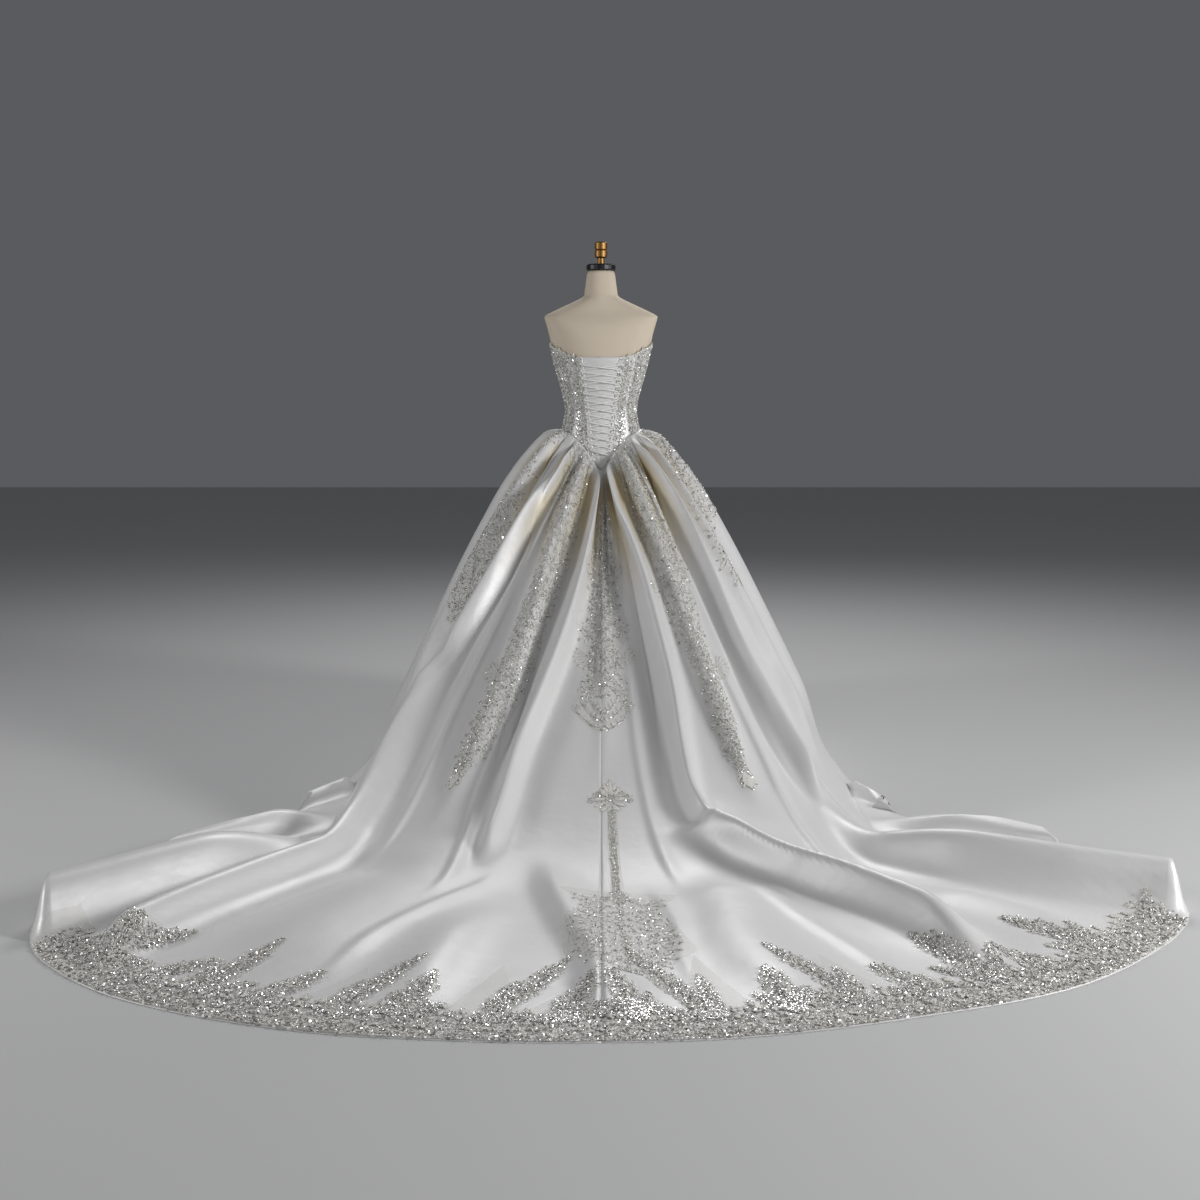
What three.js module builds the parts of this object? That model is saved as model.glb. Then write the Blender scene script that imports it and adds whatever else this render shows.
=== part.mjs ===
// A strapless satin ball gown with a laced bodice and a long train, standing on a limbless dress form.
// Millimetres, +Z up. The origin is on the floor under the form's pole, the gown's front faces +Y, the
// train runs towards -Y, and left and right are the wearer's, -X and +X.
// Round the gown a place is an angle in degrees from the centre back, positive to the right, and a reach:
// 0 at the waist seam, 1 where the skirt comes down to the floor, 2 at the hem.
import * as THREE from "three";

const SKIRT_CLOTH = 2;
const BODICE_CLOTH = 3;
const SEAM_GAP = 0.3;
const FIT_GAP = 1.7; // between the bodice and the form that it is fitted to
const LACE_LIFT = 0.3; // from the satin to the underside of the applied lace
const LACE_CLOTH = 1.2;
const MOST_STRETCH = 1.8; // how far a wall may be stretched at a sharp crease to keep its thickness
const TURN = 360;

const FINISHES = {
  satin: { color: 0xe9e6e0, roughness: 0.34, metalness: 0 },
  lace: { color: 0xd9d6cf, roughness: 0.55, metalness: 0.1 },
  cord: { color: 0xf1eee8, roughness: 0.45, metalness: 0 },
  linen: { color: 0xd8cdbb, roughness: 0.9, metalness: 0 },
  dark: { color: 0x2b2a2c, roughness: 0.4, metalness: 0.9 },
  brass: { color: 0xb98a3e, roughness: 0.3, metalness: 1 },
};

// The gown's plan, a row for each angle on both sides. The hem is the one thing that differs, because
// the train was spread by hand. train is 1 where the cloth sweeps out and 0 where it falls like a ball.
const PLAN = [
  { angle: 0, waistZ: 962, knee: [0, -1510], hemLeft: [0, -2515], hemRight: [0, -2515], train: 1 },
  { angle: 8, waistZ: 985, knee: [135, -1505], hemLeft: [275, -2508], hemRight: [275, -2492], train: 1 },
  { angle: 18, waistZ: 1020, knee: [300, -1490], hemLeft: [610, -2455], hemRight: [600, -2400], train: 1 },
  { angle: 30, waistZ: 1050, knee: [480, -1440], hemLeft: [970, -2300], hemRight: [985, -2230], train: 1 },
  { angle: 40, waistZ: 1066, knee: [600, -1340], hemLeft: [1205, -2085], hemRight: [1270, -1960],
    train: 0.92 },
  { angle: 46, waistZ: 1073, knee: [650, -1240], hemLeft: [1300, -1900], hemRight: [1395, -1740],
    train: 0.85 },
  { angle: 52, waistZ: 1078, knee: [690, -1120], hemLeft: [1310, -1690], hemRight: [1352, -1610],
    train: 0.75 },
  { angle: 59, waistZ: 1082, knee: [720, -960], hemLeft: [1140, -1385], hemRight: [1190, -1360], train: 0.6 },
  { angle: 67, waistZ: 1085, knee: [745, -760], hemLeft: [985, -1050], hemRight: [1000, -1090], train: 0.4 },
  { angle: 75, waistZ: 1088, knee: [758, -560], hemLeft: [862, -760], hemRight: [830, -790], train: 0.25 },
  { angle: 82, waistZ: 1090, knee: [763, -380], hemLeft: [800, -450], hemRight: [785, -450], train: 0.15 },
  { angle: 90, waistZ: 1090, knee: [765, -170], hemLeft: [774, -182], hemRight: [774, -182], train: 0.1 },
  { angle: 108, waistZ: 1090, knee: [735, 190], hemLeft: [741, 193], hemRight: [741, 193], train: 0.05 },
  { angle: 130, waistZ: 1080, knee: [590, 480], hemLeft: [595, 486], hemRight: [595, 486], train: 0 },
  { angle: 155, waistZ: 1050, knee: [330, 700], hemLeft: [333, 707], hemRight: [333, 707], train: 0 },
  { angle: 180, waistZ: 1040, knee: [0, 770], hemLeft: [0, 777], hemRight: [0, 777], train: 0 },
];

// The largest folds, a row for each. height is how far the ridge stands out, left and right are its
// half widths, rise and fall are the reach over which it starts and ends, flat above 2 squares its top
// off like a roll, and path is where its crest runs, as [reach, angle].
const FOLDS = [
  { name: "left tube", height: 60, left: 28, right: 24, rise: 0.1, fall: 0.12, flat: 2,
    path: [[0, -32], [0.11, -37], [0.21, -43], [0.35, -47], [0.5, -51], [0.62, -54]] },
  { name: "left sweep", height: 80, left: 64, right: 56, rise: 0.16, fall: 0.16, flat: 2,
    path: [[0.5, -56], [0.67, -53], [0.81, -50], [0.95, -47], [1.1, -43], [1.3, -41.5], [1.5, -40],
      [1.75, -38.5], [1.95, -37]] },
  { name: "left hip", height: 44, left: 90, right: 46, rise: 0.08, fall: 0.3, flat: 2,
    path: [[0, -58], [0.15, -62], [0.35, -66], [0.6, -69], [0.9, -72]] },
  { name: "left lace pleat", height: 40, left: 32, right: 40, rise: 0.1, fall: 0.35, flat: 2,
    path: [[0, -19], [0.2, -23], [0.5, -27], [0.95, -30]] },
  { name: "left centre tube", height: 58, left: 22, right: 28, rise: 0.08, fall: 0.14, flat: 2,
    path: [[0, -7], [0.12, -6.5], [0.28, -9], [0.45, -13], [0.58, -16], [0.7, -18], [0.85, -18],
      [1.05, -17]] },
  { name: "centre pleat", height: 16, left: 26, right: 30, rise: 0.1, fall: 0.3, flat: 2,
    path: [[0.1, 2], [0.3, 1.5], [0.6, 1], [0.8, 0]] },
  { name: "right centre tube", height: 64, left: 20, right: 30, rise: 0.08, fall: 0.14, flat: 2,
    path: [[0, 11], [0.14, 12], [0.29, 17], [0.46, 18.5], [0.58, 18.5], [0.7, 17.5], [0.82, 17],
      [0.95, 19]] },
  { name: "right sweep", height: 66, left: 36, right: 64, rise: 0.16, fall: 0.35, flat: 2,
    path: [[0.8, 17], [0.9, 19.5], [1, 22.5], [1.1, 25], [1.25, 27], [1.4, 28.2], [1.6, 28.5], [1.9, 28]] },
  { name: "right lace pleat", height: 42, left: 30, right: 38, rise: 0.1, fall: 0.3, flat: 2,
    path: [[0, 24], [0.2, 28], [0.5, 30], [0.9, 31]] },
  { name: "right tube", height: 60, left: 26, right: 26, rise: 0.1, fall: 0.14, flat: 2,
    path: [[0, 40], [0.18, 48], [0.36, 48], [0.52, 46], [0.62, 47], [0.78, 48], [0.92, 47]] },
  { name: "right hip front", height: 42, left: 28, right: 42, rise: 0.08, fall: 0.2, flat: 2,
    path: [[0, 56], [0.24, 62], [0.4, 64], [0.57, 65], [0.7, 65], [0.9, 61]] },
  { name: "right hip", height: 42, left: 46, right: 70, rise: 0.08, fall: 0.2, flat: 2,
    path: [[0, 78], [0.3, 82], [0.6, 84], [0.95, 84]] },
  { name: "right roll", height: 120, left: 52, right: 62, rise: 0.7, fall: 0.05, flat: 2.6,
    path: [[0.74, 51], [0.9, 47.5], [1.05, 45], [1.2, 44.2], [1.4, 44], [1.65, 44.7], [1.88, 46],
      [2, 46.7]] },
  { name: "left roll", height: 122, left: 80, right: 85, rise: 0.55, fall: 0.05, flat: 3,
    path: [[0.98, -50], [1.2, -49], [1.5, -47.5], [2, -46.8]] },
  { name: "left second roll", height: 76, left: 70, right: 70, rise: 0.55, fall: 0.07, flat: 2.6,
    path: [[0.95, -61], [1.5, -60], [2, -59]] },
  { name: "left tab", height: 45, left: 60, right: 60, rise: 0.3, fall: 0.08, flat: 2.6,
    path: [[0.95, -76], [1.5, -75.5], [2.02, -75]] },
  { name: "right second roll", height: 92, left: 60, right: 60, rise: 0.8, fall: 0.07, flat: 2.6,
    path: [[0.95, 60], [1.5, 59.5], [2, 58.8]] },
  { name: "right tab", height: 36, left: 60, right: 60, rise: 0.3, fall: 0.08, flat: 2.6,
    path: [[0.95, 75], [1.5, 75], [2.02, 75]] },
  { name: "left train swell", height: 30, left: 150, right: 190, rise: 0.2, fall: 0.35, flat: 2,
    path: [[0.85, -21], [1.03, -25], [1.42, -26.5], [1.85, -26]] },
  { name: "centre train swell", height: 30, left: 40, right: 90, rise: 0.2, fall: 0.2, flat: 2,
    path: [[0.95, -8], [1.04, -7], [1.31, -3.5], [1.54, -0.8], [1.71, 0], [1.95, 0.8]] },
  { name: "right train swell", height: 26, left: 90, right: 120, rise: 0.2, fall: 0.25, flat: 2,
    path: [[1, 16], [1.3, 14], [1.46, 12.4], [1.7, 12.8], [1.95, 14.5]] },
  { name: "left train ripple", height: 24, left: 90, right: 60, rise: 0.3, fall: 0.3, flat: 2,
    path: [[1.2, -13], [1.5, -13], [1.95, -12]] },
  { name: "right train ripple", height: 22, left: 70, right: 70, rise: 0.2, fall: 0.3, flat: 2,
    path: [[1.3, 37], [1.6, 37.5], [1.95, 38]] },
];

// The pleats that fall from the sides and the front, evenly spaced, each a little different.
const FRONT_PLEATS = { count: 9, first: 102, step: 19.5, least: 32, more: 12, left: 34, right: 38 };

// Horizontal sections of the bodice's outside and, above it, of the form: half width, depth behind and
// in front of the pole's axis, and how square the section is (2 is an ellipse).
const BODY = [
  { z: 900, width: 160, back: 122, front: 122, square: 2 },
  { z: 962, width: 152, back: 118, front: 118, square: 2 },
  { z: 1040, width: 139, back: 107, front: 107, square: 2 },
  { z: 1090, width: 129, back: 99, front: 99, square: 2 },
  { z: 1147, width: 118, back: 91, front: 91, square: 2 },
  { z: 1187, width: 122, back: 93, front: 95, square: 2 },
  { z: 1230, width: 133, back: 101, front: 107, square: 2 },
  { z: 1287, width: 149, back: 109, front: 126, square: 2 },
  { z: 1325, width: 159, back: 112, front: 136, square: 2 },
  { z: 1363, width: 168, back: 113, front: 139, square: 2.05 },
  { z: 1400, width: 176, back: 111, front: 134, square: 2.15 },
  { z: 1430, width: 184, back: 104, front: 118, square: 2.3 },
  { z: 1452, width: 190, back: 92, front: 99, square: 2.4 },
  { z: 1463, width: 191, back: 84, front: 84, square: 2.4 },
  { z: 1480, width: 159, back: 74, front: 74, square: 2.3 },
  { z: 1500, width: 116, back: 66, front: 68, square: 2.1 },
  { z: 1515, width: 84, back: 61, front: 65, square: 2 },
  { z: 1527, width: 63, back: 57, front: 62, square: 2 },
  { z: 1545, width: 58.5, back: 53, front: 59, square: 2 },
  { z: 1580, width: 53.5, back: 49, front: 54, square: 2 },
  { z: 1600, width: 50.5, back: 47, front: 51, square: 2 },
  { z: 1610, width: 46, back: 43, front: 46, square: 2 },
];
const FORM_EXTRA_RINGS = [1065, 1118, 1167, 1208, 1258, 1306];
const FORM_FLOOR_Z = 900;
const FORM_TURN_STEPS = 30;

// The bodice's upper edge and the edges of its back opening.
const NECKLINE = {
  back: 1327,
  side: 1363,
  bust: 1392,
  centreFront: 1352,
  backAngles: [24, 84],
  sideAngle: 90,
  frontAngle: 96,
  bustAngle: 152,
};
const OPENING = [
  { z: 940, half: 15 },
  { z: 1027, half: 25 },
  { z: 1147, half: 38 },
  { z: 1327, half: 60 },
];
const OPENING_ANGLE = 22; // the nominal angle that stands for the opening's edge
const BACK_ANGLE = 50; // where the bodice's backs meet its side backs
const SIDE_ANGLE = 90;
const FRONT_ANGLE = 150;
const BODICE_ROWS = 9;
const PANEL_SINK = 1; // how far the panel under the lacing lies behind the bodice's face

const SKIRT_SEAMS = [-115, -54.5, 0, 54, 115];
const SKIRT_STEPS = { back: 22, side: 14, front: 22 };
// The reaches of the skirt's rows of points.
const REACHES = [
  0, 0.04, 0.1, 0.17, 0.25, 0.33, 0.42, 0.52, 0.62, 0.72, 0.81, 0.9, 1,
  1.1, 1.22, 1.38, 1.56, 1.74, 1.9, 1.96, 2,
];
const SEAM_MARK = 0.05; // half of the nominal angle that a seam's gap takes up

// How the plain skirt comes down. knee is the reach over which the train's plan turns from skirt to
// floor and landing how much later it lands there. The drop is (1 - reach ^ hang) ^ sweep, each given
// for the ball part and the train. The train's middle is lifted off the floor by loft, over spread.
const FALL = {
  knee: 0.24,
  landing: 0.16,
  hang: { ball: 1.42, train: 1.22 },
  sweep: { ball: 1.15, train: 1.9 },
  loft: 12,
  spread: [0.8, 1.2, 1.5, 1.97],
};

// At the waist the folds are this share of their full width and height, up to the given reach.
const WAIST_FOLDS = { width: 0.3, widthReach: 0.45, height: 0.66, heightReach: 0.3 };

// Where folds stand out level instead of square to the skirt: on the ball part, near the floor.
const LEVEL_FOLDS = { reach: [0.5, 0.95], train: [0.05, 0.3] };

const LACING = {
  rows: 14,
  top: 1306,
  bottom: 1004,
  radius: 1.2,
  lift: 2.4,
  over: 3.6,
  turn: 2.6,
  reachOut: 7,
};
const LACING_STEPS = 44;
const LACING_SIDES = 6;

// The beaded border along the train's hem: the reach of its sprays' tips from the centre back outwards,
// and of the dips between them.
const HEM_BORDER = {
  dip: 1.86,
  leftTips: [1.76, 1.62, 1.78, 1.68, 1.78, 1.7, 1.8, 1.72, 1.82],
  rightTips: [1.76, 1.58, 1.78, 1.64, 1.78, 1.68, 1.8, 1.7, 1.8],
};

const LATHE_STEPS = 24;
const POLE_RADIUS = 16;
const BASE = { radius: 200, rim: 8, height: 20, hub: 30, hubHeight: 46 };
const CAP = { radius: 48, height: 21, edge: 4 };
const STEM = { radius: 11, height: 20 };
const KNOB = { radius: 20.5, height: 52, groove: 3, rim: 4 };

const group = new THREE.Group();

function addMesh(name, geometry, finish) {
  const mesh = new THREE.Mesh(geometry, new THREE.MeshStandardMaterial(FINISHES[finish]));
  mesh.name = name;
  group.add(mesh);
}

function smoothStep(from, to, x) {
  const t = THREE.MathUtils.clamp((x - from) / (to - from), 0, 1);
  return t * t * (3 - 2 * t);
}

// A smooth curve through the points xs, ys, with the slopes at its two ends given.
function curveThrough(xs, ys, x, startSlope, endSlope) {
  const last = xs.length - 1;
  let i = 0;
  while (i < last - 1 && x >= xs[i + 1]) i += 1;
  const slope = (k) => {
    if (k === 0) return startSlope;
    if (k === last) return endSlope;
    return (ys[k + 1] - ys[k - 1]) / (xs[k + 1] - xs[k - 1]);
  };
  const h = xs[i + 1] - xs[i];
  const t = THREE.MathUtils.clamp((x - xs[i]) / h, 0, 1);
  const t2 = t * t;
  const t3 = t2 * t;
  return (
    ys[i] * (2 * t3 - 3 * t2 + 1) +
    slope(i) * h * (t3 - 2 * t2 + t) +
    ys[i + 1] * (3 * t2 - 2 * t3) +
    slope(i + 1) * h * (t3 - t2)
  );
}

function openCurve(xs, ys, x) {
  const last = xs.length - 1;
  const start = (ys[1] - ys[0]) / (xs[1] - xs[0]);
  const end = (ys[last] - ys[last - 1]) / (xs[last] - xs[last - 1]);
  return curveThrough(xs, ys, x, start, end);
}

// One column of a table that goes once round, with the same slope where its ends meet.
function roundCurve(xs, ys, x) {
  const last = xs.length - 1;
  const slope = (ys[1] - ys[last - 1]) / (xs[1] - xs[0] + xs[last] - xs[last - 1]);
  return curveThrough(xs, ys, x, slope, slope);
}

const bodyHeights = BODY.map((row) => row.z);

function bodySection(z, column) {
  return openCurve(bodyHeights, BODY.map((row) => row[column]), z);
}

// A point at an angle and height, inset from the bodice's outer face.
function bodyPoint(angle, z, inset) {
  const a = THREE.MathUtils.degToRad(angle);
  const power = 2 / bodySection(z, "square");
  const depth = bodySection(z, Math.cos(a) > 0 ? "back" : "front") - inset;
  const x = Math.sign(Math.sin(a)) * Math.abs(Math.sin(a)) ** power * (bodySection(z, "width") - inset);
  const y = -Math.sign(Math.cos(a)) * Math.abs(Math.cos(a)) ** power * depth;
  return new THREE.Vector3(x, y, z);
}

// The plan's rows all the way round, from the centre front, left side first.
const roundPlan = [
  ...PLAN.slice(1).reverse().map((row) => ({ ...row, angle: -row.angle, hem: row.hemLeft, side: -1 })),
  ...PLAN.map((row) => ({ ...row, hem: row.hemRight, side: 1 })),
];
const planAngles = roundPlan.map((row) => row.angle);
const planColumns = {
  waistZ: roundPlan.map((row) => row.waistZ),
  kneeX: roundPlan.map((row) => row.side * row.knee[0]),
  kneeY: roundPlan.map((row) => row.knee[1]),
  hemX: roundPlan.map((row) => row.side * row.hem[0]),
  hemY: roundPlan.map((row) => row.hem[1]),
  train: roundPlan.map((row) => row.train),
};

function unwound(angle) {
  return angle > TURN / 2 ? angle - TURN : angle;
}

function planAt(angle, column) {
  return roundCurve(planAngles, planColumns[column], unwound(angle));
}

function waistHeight(angle) {
  return planAt(angle, "waistZ");
}

// The skirt without its folds: from the waist out and down to the floor, then along it to the hem.
function plainPoint(angle, reach) {
  const waistZ = waistHeight(angle);
  const waist = bodyPoint(angle, waistZ, -SEAM_GAP);
  const train = THREE.MathUtils.clamp(planAt(angle, "train"), 0, 1);
  const past = reach - 1;
  const rounding = FALL.knee * train;
  let onFloor = Math.max(past, 0);
  if (Math.abs(past) < rounding) onFloor = (past + rounding) ** 2 / (4 * rounding);
  const out = reach - onFloor;
  const kneeX = planAt(angle, "kneeX");
  const kneeY = planAt(angle, "kneeY");
  const x = waist.x + (kneeX - waist.x) * out + (planAt(angle, "hemX") - kneeX) * onFloor;
  const y = waist.y + (kneeY - waist.y) * out + (planAt(angle, "hemY") - kneeY) * onFloor;
  const along = Math.min(reach / (1 + FALL.landing * train), 1);
  const hang = THREE.MathUtils.lerp(FALL.hang.ball, FALL.hang.train, train);
  const sweep = THREE.MathUtils.lerp(FALL.sweep.ball, FALL.sweep.train, train);
  const drop = Math.max(1 - along ** hang, 0) ** sweep;
  const [liftStart, liftEnd, layStart, layEnd] = FALL.spread;
  const lifted = smoothStep(liftStart, liftEnd, reach) * (1 - smoothStep(layStart, layEnd, reach));
  const loft = FALL.loft * train * lifted;
  return new THREE.Vector3(x, y, waistZ * drop + loft + SKIRT_CLOTH);
}

const frontPleats = Array.from({ length: FRONT_PLEATS.count }, (_, k) => {
  const angle = FRONT_PLEATS.first + k * FRONT_PLEATS.step;
  return {
    height: FRONT_PLEATS.least + FRONT_PLEATS.more * Math.sin(2.1 * k) ** 2,
    left: FRONT_PLEATS.left,
    right: FRONT_PLEATS.right,
    rise: 0.08,
    fall: 0.12,
    flat: 2,
    path: [[0, 0.97 * angle + 4], [0.3, angle], [0.98, angle + 3 * Math.sin(1.7 * k)]],
  };
});

// How far all the folds together stand out at a place, where one degree spans perDegree mm.
function foldHeight(angle, reach, perDegree) {
  const { width, widthReach, height: waistShare, heightReach } = WAIST_FOLDS;
  const waistNarrowing = width + (1 - width) * smoothStep(0, widthReach, reach);
  const waistLowering = waistShare + (1 - waistShare) * smoothStep(0, heightReach, reach);
  let height = 0;
  for (const fold of [...FOLDS, ...frontPleats]) {
    const reaches = fold.path.map((point) => point[0]);
    const start = reaches[0];
    const end = reaches[reaches.length - 1];
    const faded = smoothStep(end - fold.fall, end, reach);
    const strength = smoothStep(start, start + fold.rise, reach) * (1 - faded);
    if (strength === 0) continue;
    const crest = openCurve(reaches, fold.path.map((point) => point[1]), reach);
    let away = unwound(angle) - crest;
    if (away < -TURN / 2) away += TURN;
    if (away > TURN / 2) away -= TURN;
    const halfWidth = (away < 0 ? fold.left : fold.right) * waistNarrowing;
    const shape = Math.exp(-(Math.abs((away * perDegree) / halfWidth) ** fold.flat));
    height += fold.height * strength * waistLowering * shape;
  }
  return height;
}

// The skirt's outer face, with its folds standing out square to the plain skirt, and level at the
// sides near the floor.
function gownPoint(angle, reach) {
  const turnStep = 0.25;
  const reachStep = 0.004;
  const point = plainPoint(angle, reach);
  const across = plainPoint(angle + turnStep, reach).sub(plainPoint(angle - turnStep, reach));
  const perDegree = across.length() / (2 * turnStep);
  const lower = plainPoint(angle, Math.min(reach + reachStep, 2));
  const down = lower.sub(plainPoint(angle, Math.max(reach - reachStep, 0)));
  const normal = new THREE.Vector3().crossVectors(down, across).normalize();
  if (normal.z < 0 && reach > LEVEL_FOLDS.reach[0]) normal.negate();
  const train = planAt(angle, "train");
  const level = smoothStep(...LEVEL_FOLDS.reach, reach) * (1 - smoothStep(...LEVEL_FOLDS.train, train));
  const waist = bodyPoint(angle, waistHeight(angle), -SEAM_GAP);
  const outward = new THREE.Vector3(planAt(angle, "hemX") - waist.x, planAt(angle, "hemY") - waist.y, 0);
  const direction = normal.lerp(outward.normalize(), level).normalize();
  return point.addScaledVector(direction, foldHeight(angle, reach, perDegree));
}

// A net of points over a cloth, with the way each point moves when the cloth is given thickness.
// columns are nominal angles, rows are reaches or heights, pointAt places a column and row.
function clothNet(columns, rows, pointAt) {
  const points = rows.map((row) => columns.map((column) => pointAt(column, row)));
  const normals = points.map((line) => line.map(() => []));
  const faces = [];
  for (let r = 0; r + 1 < rows.length; r += 1) {
    for (let c = 0; c + 1 < columns.length; c += 1) {
      faces.push([[r, c], [r + 1, c], [r + 1, c + 1]], [[r, c], [r + 1, c + 1], [r, c + 1]]);
    }
  }
  for (const face of faces) {
    const [a, b, d] = face.map(([r, c]) => points[r][c]);
    const normal = b.clone().sub(a).cross(d.clone().sub(a));
    for (const [r, c] of face) normals[r][c].push(normal);
  }
  // The two columns of a seam move together, so that the gap between them keeps its width.
  const partnerOf = (c) => columns.findIndex((other, k) => {
    const apart = Math.abs(other - columns[c]);
    return k !== c && Math.min(apart, TURN - apart) < 3 * SEAM_MARK;
  });
  const partners = columns.map((_, c) => partnerOf(c));
  const offsets = normals.map((line) => line.map((own, c) => {
    const around = partners[c] < 0 ? own : [...own, ...line[partners[c]]];
    const sum = around.reduce((total, normal) => total.add(normal), new THREE.Vector3()).normalize();
    const large = around.filter((normal) => normal.length() > 1);
    const facing = Math.min(...large.map((normal) => sum.dot(normal) / normal.length()));
    return sum.multiplyScalar(Math.min(1 / Math.max(facing, 0.01), MOST_STRETCH));
  }));
  return { columns, rows, points, offsets, faces };
}

// How far up a seam a point lies, on the gown's way from the hem to the waist.
function standing(point) {
  return point.z + 0.5 * point.y;
}

// A closed solid from a sheet's corners, each with an outer and an inner point, and its triangles.
function thickened(corners, triangles) {
  const count = corners.length;
  const position = [...corners.map((corner) => corner.outer), ...corners.map((corner) => corner.inner)];
  const index = [];
  const edges = new Set(triangles.flatMap(([a, b, c]) => [`${a} ${b}`, `${b} ${c}`, `${c} ${a}`]));
  for (const [a, b, c] of triangles) {
    index.push(a, b, c, a + count, c + count, b + count);
    for (const [from, to] of [[a, b], [b, c], [c, a]]) {
      if (edges.has(`${to} ${from}`)) continue;
      // Both sides of a seam split their edge faces the same way, so that they stay parallel.
      if (standing(corners[from].outer) > standing(corners[to].outer)) {
        index.push(from, from + count, to + count, from, to + count, to);
      } else {
        index.push(from, from + count, to, from + count, to + count, to);
      }
    }
  }
  const geometry = new THREE.BufferGeometry();
  const numbers = position.flatMap((p) => p.toArray());
  geometry.setAttribute("position", new THREE.Float32BufferAttribute(numbers, 3));
  geometry.setIndex(index);
  geometry.computeVertexNormals();
  return geometry;
}

function cornerOf(point, offset, innerOffset, outerOffset) {
  const outer = point.clone().addScaledVector(offset, outerOffset);
  const inner = point.clone().addScaledVector(offset, innerOffset);
  inner.z = Math.max(inner.z, 0);
  return { outer, inner };
}

// One panel: the net's columns and rows from the first to the last given, as a wall of cloth.
function panelOf(net, columnIndices, rowIndices, thickness, sink = 0) {
  const corners = [];
  for (const r of rowIndices) {
    for (const c of columnIndices) {
      corners.push(cornerOf(net.points[r][c], net.offsets[r][c], -sink - thickness, -sink));
    }
  }
  const width = columnIndices.length;
  const triangles = [];
  for (let r = 0; r + 1 < rowIndices.length; r += 1) {
    for (let c = 0; c + 1 < width; c += 1) {
      const corner = r * width + c;
      const below = corner + width;
      triangles.push([corner, below, below + 1], [corner, below + 1, corner + 1]);
    }
  }
  return thickened(corners, triangles);
}

// The part of a flat polygon that lies to the left of the line from a to b.
function cutByLine(polygon, a, b) {
  const side = (p) => (b[0] - a[0]) * (p[1] - a[1]) - (b[1] - a[1]) * (p[0] - a[0]);
  const kept = [];
  polygon.forEach((p, k) => {
    const next = polygon[(k + 1) % polygon.length];
    const here = side(p);
    const there = side(next);
    if (here >= 0) kept.push(p);
    if (here * there < 0) {
      const t = here / (here - there);
      kept.push([p[0] + (next[0] - p[0]) * t, p[1] + (next[1] - p[1]) * t]);
    }
  });
  return kept;
}

// Lace laid on a net: its outline is given as cells, convex polygons of [column, row] that meet edge to
// edge. Its points are the panel's own, moved out, so it follows every face of the cloth under it.
function laceOn(net, cells) {
  const corners = [];
  const triangles = [];
  const known = new Map();
  const cornerAt = (place, face) => {
    const key = `${place[0].toFixed(3)} ${place[1].toFixed(5)}`;
    if (known.has(key)) return known.get(key);
    const [a, b, d] = face.map(([r, c]) => [net.columns[c], net.rows[r]]);
    const area = (b[0] - a[0]) * (d[1] - a[1]) - (b[1] - a[1]) * (d[0] - a[0]);
    const shareB = ((place[0] - a[0]) * (d[1] - a[1]) - (place[1] - a[1]) * (d[0] - a[0])) / area;
    const shareD = ((b[0] - a[0]) * (place[1] - a[1]) - (b[1] - a[1]) * (place[0] - a[0])) / area;
    const blend = (grid) => face.reduce(
      (sum, [r, c], k) => sum.addScaledVector(grid[r][c], [1 - shareB - shareD, shareB, shareD][k]),
      new THREE.Vector3(),
    );
    corners.push(cornerOf(blend(net.points), blend(net.offsets), LACE_LIFT, LACE_LIFT + LACE_CLOTH));
    known.set(key, corners.length - 1);
    return corners.length - 1;
  };
  for (const cell of cells) {
    for (const face of net.faces) {
      let piece = face.map(([r, c]) => [net.columns[c], net.rows[r]]);
      cell.forEach((from, k) => {
        if (piece.length > 2) piece = cutByLine(piece, from, cell[(k + 1) % cell.length]);
      });
      if (piece.length < 3) continue;
      const ids = piece.map((place) => cornerAt(place, face));
      const ring = ids.filter((id, k) => id !== ids[(k + 1) % ids.length]);
      for (let k = 1; k + 1 < ring.length; k += 1) triangles.push([ring[0], ring[k], ring[k + 1]]);
    }
  }
  return thickened(corners, triangles);
}

// Cells of a band that runs down the skirt: rows of [reach, left angle, right angle].
function bandDown(rows) {
  return rows.slice(1).map(([reach, left, right], k) => {
    const [reachAbove, leftAbove, rightAbove] = rows[k];
    return [[leftAbove, reachAbove], [rightAbove, reachAbove], [right, reach], [left, reach]];
  });
}

// Cells of a band along the hem, between its upper edge and the hem, from a first column to one side.
function bandAlongHem(net, edge, firstColumn, side) {
  const tops = edge.map((top, k) => [net.columns[firstColumn + side * k], top]);
  return tops.slice(1).map((place, k) => {
    const [before, after] = side > 0 ? [tops[k], place] : [place, tops[k]];
    return [before, after, [after[0], 2], [before[0], 2]];
  });
}

function evenSteps(from, to, count) {
  return Array.from({ length: count + 1 }, (_, k) => from + ((to - from) * k) / count);
}

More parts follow.
